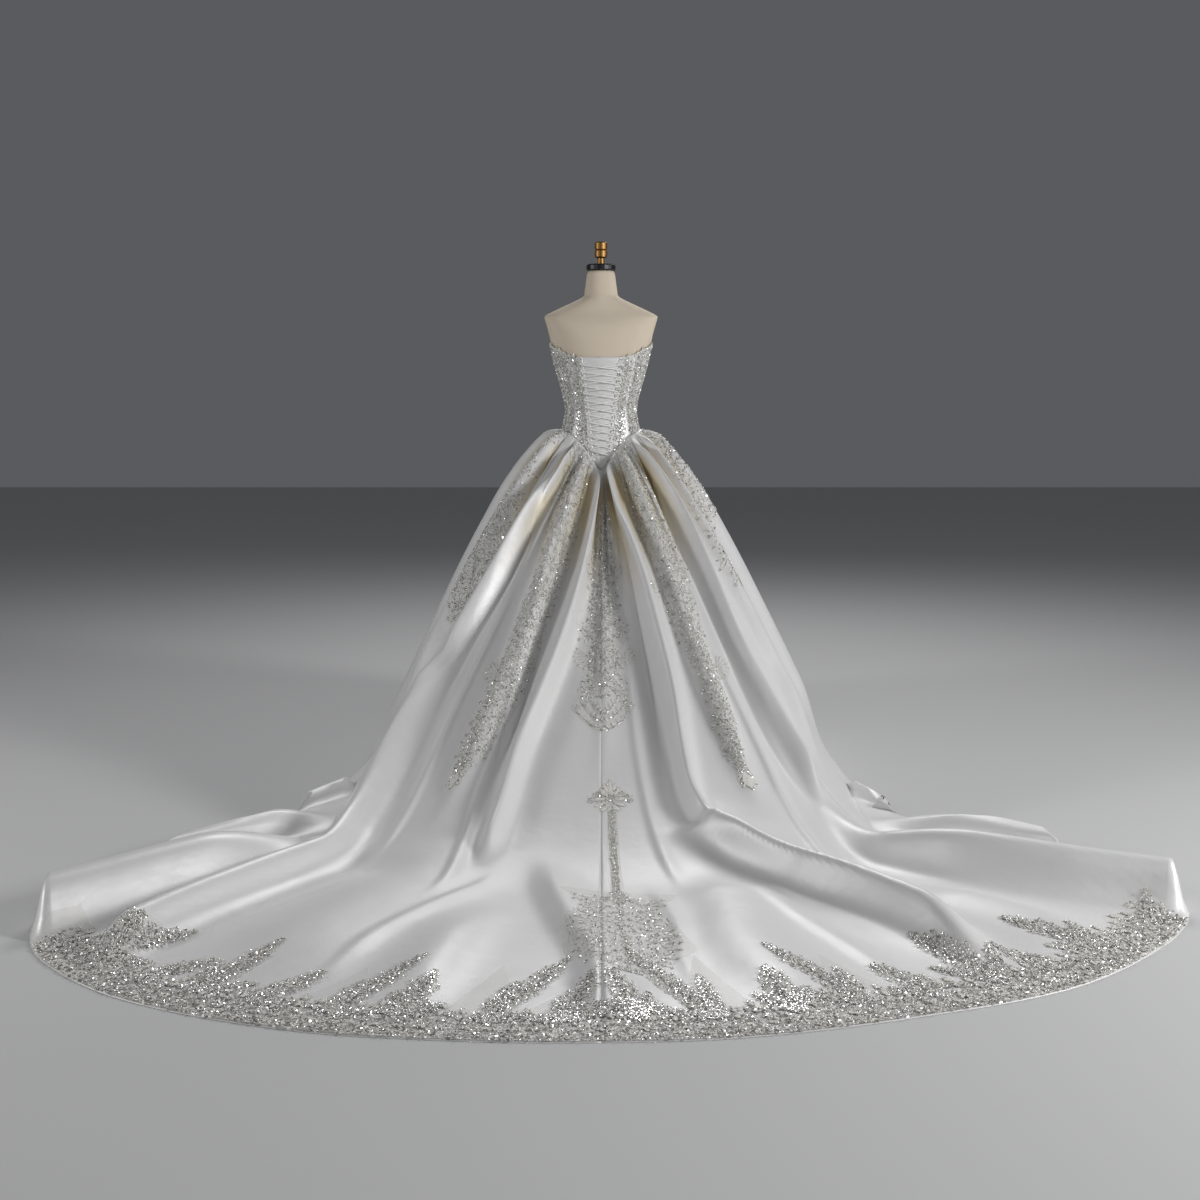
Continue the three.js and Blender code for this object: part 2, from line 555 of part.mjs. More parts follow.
// The skirt's net. A seam is two columns of points, set a seam's gap apart.
function skirtNet() {
  const [frontLeft, sideLeft, middle, sideRight, frontRight] = SKIRT_SEAMS;
  const stretches = [
    evenSteps(frontLeft, sideLeft, SKIRT_STEPS.side),
    evenSteps(sideLeft, middle, SKIRT_STEPS.back),
    evenSteps(middle, sideRight, SKIRT_STEPS.back),
    evenSteps(sideRight, frontRight, SKIRT_STEPS.side),
    evenSteps(frontRight, frontLeft + TURN, SKIRT_STEPS.front),
  ];
  const columns = stretches.flatMap((steps) => {
    const marked = [...steps];
    marked[0] += SEAM_MARK;
    marked[marked.length - 1] -= SEAM_MARK;
    return marked;
  });
  const seams = [...SKIRT_SEAMS, frontLeft + TURN];
  const net = clothNet(columns, REACHES, (column, reach) => {
    const seam = seams.find((angle) => Math.abs(Math.abs(column - angle) - SEAM_MARK) < 1e-6);
    if (seam === undefined) return gownPoint(column, reach);
    const across = gownPoint(seam + SEAM_MARK, reach).sub(gownPoint(seam - SEAM_MARK, reach));
    const lower = gownPoint(seam, Math.min(reach + 0.01, 2));
    const along = lower.sub(gownPoint(seam, Math.max(reach - 0.01, 0))).normalize();
    const span = across.cross(along).length();
    return gownPoint(seam + Math.sign(column - seam) * SEAM_MARK * (SEAM_GAP / span), reach);
  });
  // The waist seam's edge stands upright against the bodice.
  for (const offset of net.offsets[0]) offset.set(0, 0, 1);
  return net;
}

function addSkirt(net) {
  const allRows = REACHES.map((_, r) => r);
  const kneeRow = REACHES.indexOf(1);
  const frontRows = [...allRows.slice(0, kneeRow + 1), allRows.length - 1];
  const panels = [
    ["skirt_side_left", SKIRT_STEPS.side, allRows],
    ["skirt_back_left", SKIRT_STEPS.back, allRows],
    ["skirt_back_right", SKIRT_STEPS.back, allRows],
    ["skirt_side_right", SKIRT_STEPS.side, allRows],
    ["skirt_front", SKIRT_STEPS.front, frontRows],
  ];
  let first = 0;
  for (const [name, steps, rows] of panels) {
    const columnIndices = evenSteps(first, first + steps, steps);
    addMesh(name, panelOf(net, columnIndices, rows, SKIRT_CLOTH), "satin");
    first += steps + 1;
  }
}

// The lace bands on the skirt and train, placed as [reach, left angle, right angle].
function addSkirtLace(net) {
  const bands = {
    applique_back_left: [
      [0.04, -35, -11], [0.1, -34, -11], [0.25, -31.5, -13.5], [0.33, -29, -15.5], [0.42, -31, -18],
      [0.52, -31, -20], [0.62, -34, -22], [0.72, -33.5, -25], [0.81, -31, -30],
    ],
    applique_back_right: [
      [0.04, 15, 38], [0.1, 17, 39], [0.25, 19, 41], [0.33, 23, 42], [0.42, 23.5, 38],
      [0.52, 27, 35], [0.62, 27, 35], [0.72, 27.5, 32], [0.81, 30, 31],
    ],
    applique_centre_back: [
      [0.17, -1.5, 3.5], [0.25, -6.2, 7.8], [0.29, -8.5, 10], [0.33, -5.2, 6.8], [0.42, -8.6, 10.2],
      [0.47, -3.7, 5.3], [0.52, -5.7, 7.3], [0.58, -7.2, 8.8], [0.64, 0.3, 1.3],
    ],
    applique_side_left: [
      [0.04, -94, -57], [0.1, -95, -56], [0.25, -92, -55], [0.33, -84, -55], [0.42, -74, -55],
      [0.52, -68, -57],
    ],
    applique_side_right: [
      [0.04, 60, 94], [0.1, 60, 95], [0.25, 60, 91], [0.33, 61, 83], [0.42, 62, 72],
    ],
    applique_train_centre: [
      [0.765, 1.2, 2.4], [0.785, -1.8, 5.2], [0.81, -1.8, 5.2], [0.825, 1.1, 2.9], [1, 1.1, 2.9],
      [1.13, 1.2, 3], [1.17, -5, 9.5], [1.3, -1.5, 5.5], [1.38, -4, 7], [1.56, -3, 8], [1.66, 0.5, 4.5],
    ],
  };
  for (const [name, rows] of Object.entries(bands)) addMesh(name, laceOn(net, bandDown(rows)), "lace");

  // The border's upper edge at the net's columns: a spray on every second one, a dip between.
  const edgeOf = (tips) => [HEM_BORDER.dip, ...tips.flatMap((tip) => [tip, HEM_BORDER.dip])];
  const middle = net.columns.findIndex((column) => column > 0);
  const leftCells = bandAlongHem(net, edgeOf(HEM_BORDER.leftTips), middle - 1, -1);
  const rightCells = bandAlongHem(net, edgeOf(HEM_BORDER.rightTips), middle, 1);
  addMesh("applique_hem_left", laceOn(net, leftCells), "lace");
  addMesh("applique_hem_right", laceOn(net, rightCells), "lace");
}

function necklineHeight(angle) {
  const a = Math.abs(unwound(angle));
  if (a <= NECKLINE.sideAngle) {
    return NECKLINE.back + (NECKLINE.side - NECKLINE.back) * smoothStep(...NECKLINE.backAngles, a);
  }
  const toBust = smoothStep(NECKLINE.frontAngle, NECKLINE.bustAngle, a);
  const toCentre = smoothStep(NECKLINE.bustAngle, TURN / 2, a);
  const rise = (NECKLINE.bust - NECKLINE.side) * toBust;
  return NECKLINE.side + rise - (NECKLINE.bust - NECKLINE.centreFront) * toCentre;
}

// The angle at which the edge of the back opening stands at a height.
function openingAngle(z) {
  const half = openCurve(OPENING.map((row) => row.z), OPENING.map((row) => row.half), z);
  return THREE.MathUtils.radToDeg(Math.asin(half / bodySection(z, "width")));
}

// A point of the bodice: columns within the nominal opening angle are drawn in to the real opening.
function bodicePoint(column, share) {
  const passes = 6;
  let angle = column;
  for (let pass = 0; pass < passes && Math.abs(column) < BACK_ANGLE; pass += 1) {
    const low = waistHeight(angle);
    const z = low + (necklineHeight(angle) - low) * share;
    const edge = openingAngle(z);
    const a = Math.abs(column);
    const drawn = a <= OPENING_ANGLE
      ? (a / OPENING_ANGLE) * edge
      : edge + ((a - OPENING_ANGLE) / (BACK_ANGLE - OPENING_ANGLE)) * (BACK_ANGLE - edge);
    angle = Math.sign(column) * drawn;
  }
  const low = waistHeight(angle);
  return bodyPoint(angle, low + (necklineHeight(angle) - low) * share, 0);
}

function addBodice() {
  const stretches = [
    ["bodice_side_front_left", -FRONT_ANGLE, -SIDE_ANGLE, 6],
    ["bodice_side_back_left", -SIDE_ANGLE, -BACK_ANGLE, 4],
    ["bodice_back_left", -BACK_ANGLE, -OPENING_ANGLE, 3],
    ["bodice_lacing_panel", -OPENING_ANGLE, OPENING_ANGLE, 4],
    ["bodice_back_right", OPENING_ANGLE, BACK_ANGLE, 3],
    ["bodice_side_back_right", BACK_ANGLE, SIDE_ANGLE, 4],
    ["bodice_side_front_right", SIDE_ANGLE, FRONT_ANGLE, 6],
    ["bodice_front", FRONT_ANGLE, TURN - FRONT_ANGLE, 6],
  ];
  const seams = [...stretches.map((stretch) => stretch[1]), TURN - FRONT_ANGLE];
  const columns = stretches.flatMap(([, from, to, steps]) => {
    const marked = evenSteps(from, to, steps);
    marked[0] += SEAM_MARK;
    marked[steps] -= SEAM_MARK;
    return marked;
  });
  // Share 1 is the neckline, so the net runs from the top edge down to the waist seam.
  const shares = evenSteps(1, 0, BODICE_ROWS);
  const net = clothNet(columns, shares, (column, share) => {
    const seam = seams.find((angle) => Math.abs(Math.abs(column - angle) - SEAM_MARK) < 1e-6);
    if (seam === undefined) return bodicePoint(column, share);
    const span = bodicePoint(seam + 1, share).distanceTo(bodicePoint(seam - 1, share)) / 2;
    return bodicePoint(seam + (Math.sign(column - seam) * SEAM_GAP) / 2 / span, share);
  });
  const rows = shares.map((_, r) => r);
  let first = 0;
  for (const [name, , , steps] of stretches) {
    const columnIndices = evenSteps(first, first + steps, steps);
    const isLacingPanel = name === "bodice_lacing_panel";
    const sink = isLacingPanel ? PANEL_SINK : 0;
    addMesh(name, panelOf(net, columnIndices, rows, BODICE_CLOTH - sink, sink), "satin");
    first += steps + 1;
  }
}

// The two cords that cross the back opening, one starting at each side. The second passes over the
// first in the middle of each crossing.
function addLacing() {
  const cords = [["lacing_cord_first", 1], ["lacing_cord_second", -1]];
  for (const [name, startSide] of cords) {
    const route = [];
    for (let row = 0; row < LACING.rows; row += 1) {
      const z = LACING.top + ((LACING.bottom - LACING.top) * row) / (LACING.rows - 1);
      const side = startSide * (row % 2 === 0 ? 1 : -1);
      const half = openCurve(OPENING.map((line) => line.z), OPENING.map((line) => line.half), z);
      const endX = side * (half + LACING.reachOut);
      for (const turn of [1, -1]) route.push(lacingPoint(endX, z + turn * LACING.turn, 0));
      if (row < LACING.rows - 1) {
        const step = (LACING.bottom - LACING.top) / (LACING.rows - 1);
        const over = startSide < 0 ? LACING.over : 0;
        route.push(lacingPoint(0, z + step / 2, over));
      }
    }
    const section = new THREE.Shape().absarc(0, 0, LACING.radius, 0, 2 * Math.PI);
    const geometry = new THREE.ExtrudeGeometry(section, {
      steps: LACING_STEPS,
      curveSegments: LACING_SIDES / 2,
      extrudePath: new THREE.CatmullRomCurve3(route, false, "centripetal"),
    });
    addMesh(name, geometry, "cord");
  }
}

function lacingPoint(x, z, over) {
  const angle = THREE.MathUtils.radToDeg(Math.asin(x / bodySection(z, "width")));
  return bodyPoint(angle, z, -LACING.lift - over);
}

// A turned solid from [radius, height] points that start and end on the axis.
function turned(profile, bottomZ) {
  const points = profile.map(([radius, height]) => new THREE.Vector2(radius, height));
  const geometry = new THREE.LatheGeometry(points, LATHE_STEPS);
  return geometry.rotateX(Math.PI / 2).translate(0, 0, bottomZ);
}

function addForm() {
  const ringHeights = [...bodyHeights, ...FORM_EXTRA_RINGS].sort((a, b) => a - b);
  const columns = evenSteps(0, TURN, FORM_TURN_STEPS).slice(0, -1);
  const inset = BODICE_CLOTH + FIT_GAP;
  const position = ringHeights.flatMap((z) => columns.map((angle) => bodyPoint(angle, z, inset)));
  const topZ = ringHeights[ringHeights.length - 1];
  position.push(new THREE.Vector3(0, 0, FORM_FLOOR_Z), new THREE.Vector3(0, 0, topZ));
  const bottomCentre = position.length - 2;
  const topCentre = position.length - 1;
  const topRing = (ringHeights.length - 1) * FORM_TURN_STEPS;
  const index = [];
  for (let c = 0; c < FORM_TURN_STEPS; c += 1) {
    const next = (c + 1) % FORM_TURN_STEPS;
    index.push(bottomCentre, next, c, topCentre, topRing + c, topRing + next);
    for (let r = 0; r + 1 < ringHeights.length; r += 1) {
      const low = r * FORM_TURN_STEPS;
      const high = low + FORM_TURN_STEPS;
      index.push(low + c, low + next, high + next, low + c, high + next, high + c);
    }
  }
  const body = new THREE.BufferGeometry();
  body.setAttribute("position", new THREE.Float32BufferAttribute(position.flatMap((p) => p.toArray()), 3));
  body.setIndex(index);
  body.computeVertexNormals();
  addMesh("form_body", body, "linen");

  const baseProfile = [
    [0, 0], [BASE.radius, 0], [BASE.radius, BASE.rim], [BASE.radius - BASE.rim, BASE.height],
    [BASE.hub, BASE.height], [BASE.hub, BASE.hubHeight], [0, BASE.hubHeight],
  ];
  addMesh("form_base", turned(baseProfile, 0), "dark");

  const poleLength = FORM_FLOOR_Z - BASE.hubHeight - 2 * SEAM_GAP;
  const poleProfile = [[0, 0], [POLE_RADIUS, 0], [POLE_RADIUS, poleLength], [0, poleLength]];
  addMesh("form_pole", turned(poleProfile, BASE.hubHeight + SEAM_GAP), "dark");

  const capZ = topZ + SEAM_GAP;
  const capProfile = [
    [0, 0], [CAP.radius - CAP.edge, 0], [CAP.radius, CAP.edge], [CAP.radius, CAP.height - CAP.edge],
    [CAP.radius - CAP.edge, CAP.height], [0, CAP.height],
  ];
  addMesh("form_neck_cap", turned(capProfile, capZ), "dark");

  const knobLow = STEM.height;
  const knobMid = knobLow + KNOB.height / 2;
  const knobTop = knobLow + KNOB.height;
  const finialProfile = [
    [0, 0], [STEM.radius, 0], [STEM.radius, knobLow], [KNOB.radius - KNOB.rim, knobLow],
    [KNOB.radius, knobLow + KNOB.rim], [KNOB.radius, knobMid - KNOB.groove],
    [KNOB.radius - KNOB.groove, knobMid], [KNOB.radius, knobMid + KNOB.groove],
    [KNOB.radius, knobTop - KNOB.rim], [KNOB.radius - KNOB.rim, knobTop], [0, knobTop],
  ];
  addMesh("form_finial", turned(finialProfile, capZ + CAP.height + SEAM_GAP), "brass");
}

const net = skirtNet();
addForm();
addBodice();
addLacing();
addSkirt(net);
addSkirtLace(net);

export default group;
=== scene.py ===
import math

import bmesh
import bpy
import numpy as np
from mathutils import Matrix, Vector


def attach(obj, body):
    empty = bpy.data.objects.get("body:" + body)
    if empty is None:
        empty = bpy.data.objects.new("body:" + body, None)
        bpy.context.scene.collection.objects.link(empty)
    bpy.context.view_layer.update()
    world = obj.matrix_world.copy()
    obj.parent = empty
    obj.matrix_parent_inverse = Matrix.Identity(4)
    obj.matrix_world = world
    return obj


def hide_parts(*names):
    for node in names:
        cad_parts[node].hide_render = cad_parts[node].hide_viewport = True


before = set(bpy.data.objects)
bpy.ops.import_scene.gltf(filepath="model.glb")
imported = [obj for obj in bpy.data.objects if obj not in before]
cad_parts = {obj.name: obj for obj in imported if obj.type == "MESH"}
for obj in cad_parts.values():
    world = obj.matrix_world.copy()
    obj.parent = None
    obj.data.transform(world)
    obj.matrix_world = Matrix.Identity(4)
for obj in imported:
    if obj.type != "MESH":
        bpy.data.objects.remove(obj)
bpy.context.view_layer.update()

bl_info = {
    "name": "Laced Satin Gown",
    "version": (1, 0, 0),
    "blender": (4, 5, 0),
    "location": "View3D > Sidebar > Gown",
    "description": "Builds a laced satin ball gown with a beaded train on a dress form",
    "category": "Add Mesh",
}

MM = 0.001
TURN = 360

# The gown's measures, in millimetres, the same as in the part's source.
SKIRT_CLOTH = 2
BODICE_CLOTH = 3
SEAM_GAP = 0.3
FIT_GAP = 1.7  # between the inside of the bodice and the form
SEAM_MARK = 0.05  # how many degrees a panel's edge stays clear of its seam

# The gown's plan: angle from the centre back, waist height, knee, left hem, right hem, and how much of
# a train the cloth is there.
PLAN = [
    (0, 962, (0, -1510), (0, -2515), (0, -2515), 1),
    (8, 985, (135, -1505), (275, -2508), (275, -2492), 1),
    (18, 1020, (300, -1490), (610, -2455), (600, -2400), 1),
    (30, 1050, (480, -1440), (970, -2300), (985, -2230), 1),
    (40, 1066, (600, -1340), (1205, -2085), (1270, -1960), 0.92),
    (46, 1073, (650, -1240), (1300, -1900), (1395, -1740), 0.85),
    (52, 1078, (690, -1120), (1310, -1690), (1352, -1610), 0.75),
    (59, 1082, (720, -960), (1140, -1385), (1190, -1360), 0.6),
    (67, 1085, (745, -760), (985, -1050), (1000, -1090), 0.4),
    (75, 1088, (758, -560), (862, -760), (830, -790), 0.25),
    (82, 1090, (763, -380), (800, -450), (785, -450), 0.15),
    (90, 1090, (765, -170), (774, -182), (774, -182), 0.1),
    (108, 1090, (735, 190), (741, 193), (741, 193), 0.05),
    (130, 1080, (590, 480), (595, 486), (595, 486), 0),
    (155, 1050, (330, 700), (333, 707), (333, 707), 0),
    (180, 1040, (0, 770), (0, 777), (0, 777), 0),
]

# The large folds: height, left and right half width, the reach over which each rises and falls, how
# flat its top is, and the path of its crest as (reach, angle).
FOLDS = [
    (60, 28, 24, 0.1, 0.12, 2,
     [(0, -32), (0.11, -37), (0.21, -43), (0.35, -47), (0.5, -51), (0.62, -54)]),
    (80, 64, 56, 0.16, 0.16, 2,
     [(0.5, -56), (0.67, -53), (0.81, -50), (0.95, -47), (1.1, -43), (1.3, -41.5), (1.5, -40),
      (1.75, -38.5), (1.95, -37)]),
    (44, 90, 46, 0.08, 0.3, 2, [(0, -58), (0.15, -62), (0.35, -66), (0.6, -69), (0.9, -72)]),
    (40, 32, 40, 0.1, 0.35, 2, [(0, -19), (0.2, -23), (0.5, -27), (0.95, -30)]),
    (58, 22, 28, 0.08, 0.14, 2,
     [(0, -7), (0.12, -6.5), (0.28, -9), (0.45, -13), (0.58, -16), (0.7, -18), (0.85, -18), (1.05, -17)]),
    (16, 26, 30, 0.1, 0.3, 2, [(0.1, 2), (0.3, 1.5), (0.6, 1), (0.8, 0)]),
    (64, 20, 30, 0.08, 0.14, 2,
     [(0, 11), (0.14, 12), (0.29, 17), (0.46, 18.5), (0.58, 18.5), (0.7, 17.5), (0.82, 17), (0.95, 19)]),
    (66, 36, 64, 0.16, 0.35, 2,
     [(0.8, 17), (0.9, 19.5), (1, 22.5), (1.1, 25), (1.25, 27), (1.4, 28.2), (1.6, 28.5), (1.9, 28)]),
    (42, 30, 38, 0.1, 0.3, 2, [(0, 24), (0.2, 28), (0.5, 30), (0.9, 31)]),
    (60, 26, 26, 0.1, 0.14, 2,
     [(0, 40), (0.18, 48), (0.36, 48), (0.52, 46), (0.62, 47), (0.78, 48), (0.92, 47)]),
    (42, 28, 42, 0.08, 0.2, 2, [(0, 56), (0.24, 62), (0.4, 64), (0.57, 65), (0.7, 65), (0.9, 61)]),
    (42, 46, 70, 0.08, 0.2, 2, [(0, 78), (0.3, 82), (0.6, 84), (0.95, 84)]),
    (120, 52, 62, 0.7, 0.05, 2.6,
     [(0.74, 51), (0.9, 47.5), (1.05, 45), (1.2, 44.2), (1.4, 44), (1.65, 44.7), (1.88, 46), (2, 46.7)]),
    (122, 80, 85, 0.55, 0.05, 3, [(0.98, -50), (1.2, -49), (1.5, -47.5), (2, -46.8)]),
    (76, 70, 70, 0.55, 0.07, 2.6, [(0.95, -61), (1.5, -60), (2, -59)]),
    (45, 60, 60, 0.3, 0.08, 2.6, [(0.95, -76), (1.5, -75.5), (2.02, -75)]),
    (92, 60, 60, 0.8, 0.07, 2.6, [(0.95, 60), (1.5, 59.5), (2, 58.8)]),
    (36, 60, 60, 0.3, 0.08, 2.6, [(0.95, 75), (1.5, 75), (2.02, 75)]),
    (30, 150, 190, 0.2, 0.35, 2, [(0.85, -21), (1.03, -25), (1.42, -26.5), (1.85, -26)]),
    (30, 40, 90, 0.2, 0.2, 2,
     [(0.95, -8), (1.04, -7), (1.31, -3.5), (1.54, -0.8), (1.71, 0), (1.95, 0.8)]),
    (26, 90, 120, 0.2, 0.25, 2, [(1, 16), (1.3, 14), (1.46, 12.4), (1.7, 12.8), (1.95, 14.5)]),
    (24, 90, 60, 0.3, 0.3, 2, [(1.2, -13), (1.5, -13), (1.95, -12)]),
    (22, 70, 70, 0.2, 0.3, 2, [(1.3, 37), (1.6, 37.5), (1.95, 38)]),
]

# The pleats that fall from the sides and the front, evenly spaced, each a little different.
FRONT_PLEATS = [
    (32 + 12 * math.sin(2.1 * k) ** 2, 34, 38, 0.08, 0.12, 2,
     [(0, 0.97 * angle + 4), (0.3, angle), (0.98, angle + 3 * math.sin(1.7 * k))])
    for k, angle in enumerate(np.arange(102, 262, 19.5))
]

# The small creases that only the picture needs, given as the folds are.
CREASES = [
    (40, 40, 80, 0.03, 0.35, 1.3,
     [(0.88, 14.6), (0.9, 15.5), (1, 21.6), (1.23, 26.3), (1.44, 27.4), (1.9, 27.8)]),
    (9, 16, 10, 0.1, 0.2, 1.5, [(0.1, 16.4), (0.27, 16.9), (0.37, 19.2), (0.51, 19.8), (0.75, 18)]),
    (9, 14, 10, 0.1, 0.2, 1.5, [(0.2, 47), (0.34, 45), (0.49, 44.6), (0.64, 45.4), (0.85, 46.6)]),
    (9, 12, 16, 0.1, 0.2, 1.5, [(0.12, -29), (0.3, -24.6), (0.47, -24), (0.6, -23.8), (0.76, -23)]),
    (10, 16, 10, 0.1, 0.2, 1.5, [(0.2, -40), (0.35, -44.6), (0.5, -49), (0.62, -51), (0.8, -50.5), (1, -47)]),
    (9, 9, 14, 0.1, 0.2, 2, [(0.02, -47), (0.15, -52), (0.3, -57)]),
    (8, 8, 12, 0.1, 0.2, 2, [(0.02, -26), (0.15, -31), (0.35, -37)]),
    (8, 9, 9, 0.08, 0.2, 2, [(0.02, -2.5), (0.15, -1.5), (0.4, -3)]),
    (8, 9, 9, 0.08, 0.2, 2, [(0.02, 5), (0.15, 6.5), (0.4, 8)]),
    (8, 9, 12, 0.1, 0.2, 2, [(0.02, 32), (0.15, 36), (0.35, 39)]),
    (9, 10, 12, 0.1, 0.2, 2, [(0.02, 48), (0.2, 55), (0.4, 56)]),
    (9, 12, 12, 0.1, 0.2, 2, [(0.02, -70), (0.2, -76), (0.5, -80)]),
    (9, 12, 12, 0.1, 0.2, 2, [(0.02, 68), (0.2, 72), (0.5, 74)]),
    (8, 24, 10, 0.15, 0.2, 2, [(0.35, -37), (0.6, -40), (0.85, -38), (1.1, -35)]),
    (9, 12, 26, 0.15, 0.2, 2, [(0.5, -22), (0.8, -24), (1.05, -21), (1.25, -20)]),
    (8, 12, 26, 0.15, 0.2, 2, [(0.4, 9), (0.65, 8), (0.9, 9), (1.15, 11)]),
    (9, 12, 26, 0.15, 0.2, 2, [(0.45, 37), (0.7, 38), (0.95, 36), (1.2, 35)]),
    (10, 10, 30, 0.1, 0.2, 2, [(0.86, 22.5), (1, 27.5), (1.15, 30), (1.3, 31), (1.5, 33)]),
    (8, 14, 30, 0.2, 0.3, 2, [(1.05, -31), (1.3, -33), (1.6, -33.5), (1.9, -34)]),
    (7, 14, 34, 0.2, 0.3, 2, [(1.0, -13.5), (1.25, -18), (1.5, -20), (1.85, -20)]),
    (7, 18, 30, 0.2, 0.3, 2, [(1.05, 6), (1.3, 7.5), (1.6, 6.5), (1.9, 7)]),
    (7, 18, 30, 0.2, 0.3, 2, [(1.1, 20), (1.35, 20), (1.6, 20.5), (1.9, 21)]),
    (9, 12, 20, 0.15, 0.2, 2, [(0.9, 52), (1.1, 50.5), (1.4, 50), (1.7, 51)]),
    (9, 16, 16, 0.15, 0.2, 2, [(0.9, -54), (1.2, -54), (1.5, -53.5), (1.85, -53)]),
]

# The grooves where the waist's pleats open: given as folds that stand in instead of out.
GROOVES = [
    (-14, 13, 13, 0.1, 0.3, 2, [(0.2, -39.5), (0.35, -42.4), (0.5, -46.8), (0.7, -47)]),
    (-14, 12, 14, 0.1, 0.3, 2, [(0.2, 43), (0.4, 43.4), (0.6, 43), (0.8, 43.6), (0.95, 46)]),
    (-12, 14, 12, 0.1, 0.3, 2, [(0.15, -20), (0.35, -20.4), (0.6, -21), (0.9, -21.5)]),
    (-12, 12, 14, 0.1, 0.3, 2, [(0.15, 12), (0.35, 13.6), (0.55, 14), (0.8, 13)]),
    (-18, 24, 30, 0.12, 0.2, 1.5, [(1.0, -41.5), (1.16, -40.2), (1.44, -38.6), (1.7, -37.4), (1.9, -36.4)]),
    (-26, 11, 13, 0.05, 0.25, 2, [(0, -37.5), (0.1, -37.4), (0.17, -40.5), (0.34, -43.5)]),
    (-26, 12, 11, 0.05, 0.25, 2, [(0, 40.5), (0.04, 41.2), (0.1, 41.4), (0.17, 41.6), (0.36, 42)]),
    (-20, 11, 11, 0.05, 0.3, 2, [(0, 1.5), (0.2, 2.8), (0.42, 2.4)]),
    (-10, 8, 8, 0.05, 0.2, 2, [(0, -13), (0.1, -14), (0.3, -19)]),
    (-10, 8, 8, 0.05, 0.2, 2, [(0, 19), (0.1, 20), (0.3, 24)]),
    (-12, 9, 9, 0.05, 0.2, 2, [(0, -52), (0.1, -54), (0.35, -58)]),
    (-12, 9, 9, 0.05, 0.2, 2, [(0, 50), (0.1, 54), (0.35, 56)]),
]

# Horizontal sections of the bodice's outside and of the form above it: height, half width, depth behind
# and in front, and how square the section is.
BODY = np.array([
    (900, 160, 122, 122, 2),
    (962, 152, 118, 118, 2),
    (1040, 139, 107, 107, 2),
    (1090, 129, 99, 99, 2),
    (1147, 118, 91, 91, 2),
    (1187, 122, 93, 95, 2),
    (1230, 133, 101, 107, 2),
    (1287, 149, 109, 126, 2),
    (1325, 159, 112, 136, 2),
    (1363, 168, 113, 139, 2.05),
    (1400, 176, 111, 134, 2.15),
    (1430, 184, 104, 118, 2.3),
    (1452, 190, 92, 99, 2.4),
    (1463, 191, 84, 84, 2.4),
    (1480, 159, 74, 74, 2.3),
    (1500, 116, 66, 68, 2.1),
    (1515, 84, 61, 65, 2),
    (1527, 63, 57, 62, 2),
    (1545, 58.5, 53, 59, 2),
    (1580, 53.5, 49, 54, 2),
    (1600, 50.5, 47, 51, 2),
    (1610, 46, 43, 46, 2),
])

# The neckline's heights and the angles between which it rises or dips from one to the next.
NECK_BACK, NECK_SIDE, NECK_BUST, NECK_FRONT = 1327, 1363, 1392, 1352
NECK_TO_SIDE, NECK_TO_BUST, NECK_TO_FRONT = (24, 84), (96, 152), (152, TURN / 2)
# The lacing's opening, and the columns of the bodice's seams.
OPENING_HEIGHTS = (940, 1027, 1147, 1327)
OPENING_HALVES = (15, 25, 38, 60)
OPENING_ANGLE, BACK_ANGLE, SIDE_ANGLE, FRONT_ANGLE = 22, 50, 90, 150
SKIRT_SEAMS = (-115, -54.5, 0, 54, 115)

# How the plain skirt comes down: how softly it turns on the floor, how far past that turn it still falls,
# the two powers of its curve without a train and with one, and how high the train lies where it starts.
KNEE, LANDING = 0.24, 0.16
HANG_BALL, HANG_TRAIN = 1.42, 1.22
SWEEP_BALL, SWEEP_TRAIN = 1.15, 1.9
LOFT, LOFT_SPREAD = 12, (0.8, 1.2, 1.5, 1.97)
# How narrow and how low the folds are at the waist, and the reaches at which they are full.
WAIST_WIDTH, WAIST_WIDTH_REACH = 0.3, 0.45
WAIST_HEIGHT, WAIST_HEIGHT_REACH = 0.66, 0.3
# Over these reaches, and where there is less train than this, the folds come to stand out level.
LEVEL_REACH, LEVEL_TRAIN = (0.5, 0.95), (0.05, 0.3)

SEAM_CLOSED = 0.1  # half of the gap left between two panels of the skirt
SEAM_DIP, SEAM_DIP_WIDTH = 1.2, 4  # how deep and wide a sewn seam pulls the cloth in


def smooth_step(start, end, x):
    t = np.clip((x - start) / (end - start), 0, 1)
    return t * t * (3 - 2 * t)


def curve_through(xs, ys, x, start_slope=None, end_slope=None):
    """A smooth curve through points, with its end slopes given or taken from the end points."""
    xs, ys, x = np.asarray(xs, float), np.asarray(ys, float), np.asarray(x, float)
    slopes = np.empty_like(ys)
    slopes[1:-1] = (ys[2:] - ys[:-2]) / (xs[2:] - xs[:-2])
    slopes[0] = (ys[1] - ys[0]) / (xs[1] - xs[0]) if start_slope is None else start_slope
    slopes[-1] = (ys[-1] - ys[-2]) / (xs[-1] - xs[-2]) if end_slope is None else end_slope
    i = np.clip(np.searchsorted(xs, x, side="right") - 1, 0, len(xs) - 2)
    h = xs[i + 1] - xs[i]
    t = np.clip((x - xs[i]) / h, 0, 1)
    t2, t3 = t * t, t * t * t
    return (
        ys[i] * (2 * t3 - 3 * t2 + 1)
        + slopes[i] * h * (t3 - 2 * t2 + t)
        + ys[i + 1] * (3 * t2 - 2 * t3)
        + slopes[i + 1] * h * (t3 - t2)
    )


def body_section(z, column):
    return curve_through(BODY[:, 0], BODY[:, column], z)


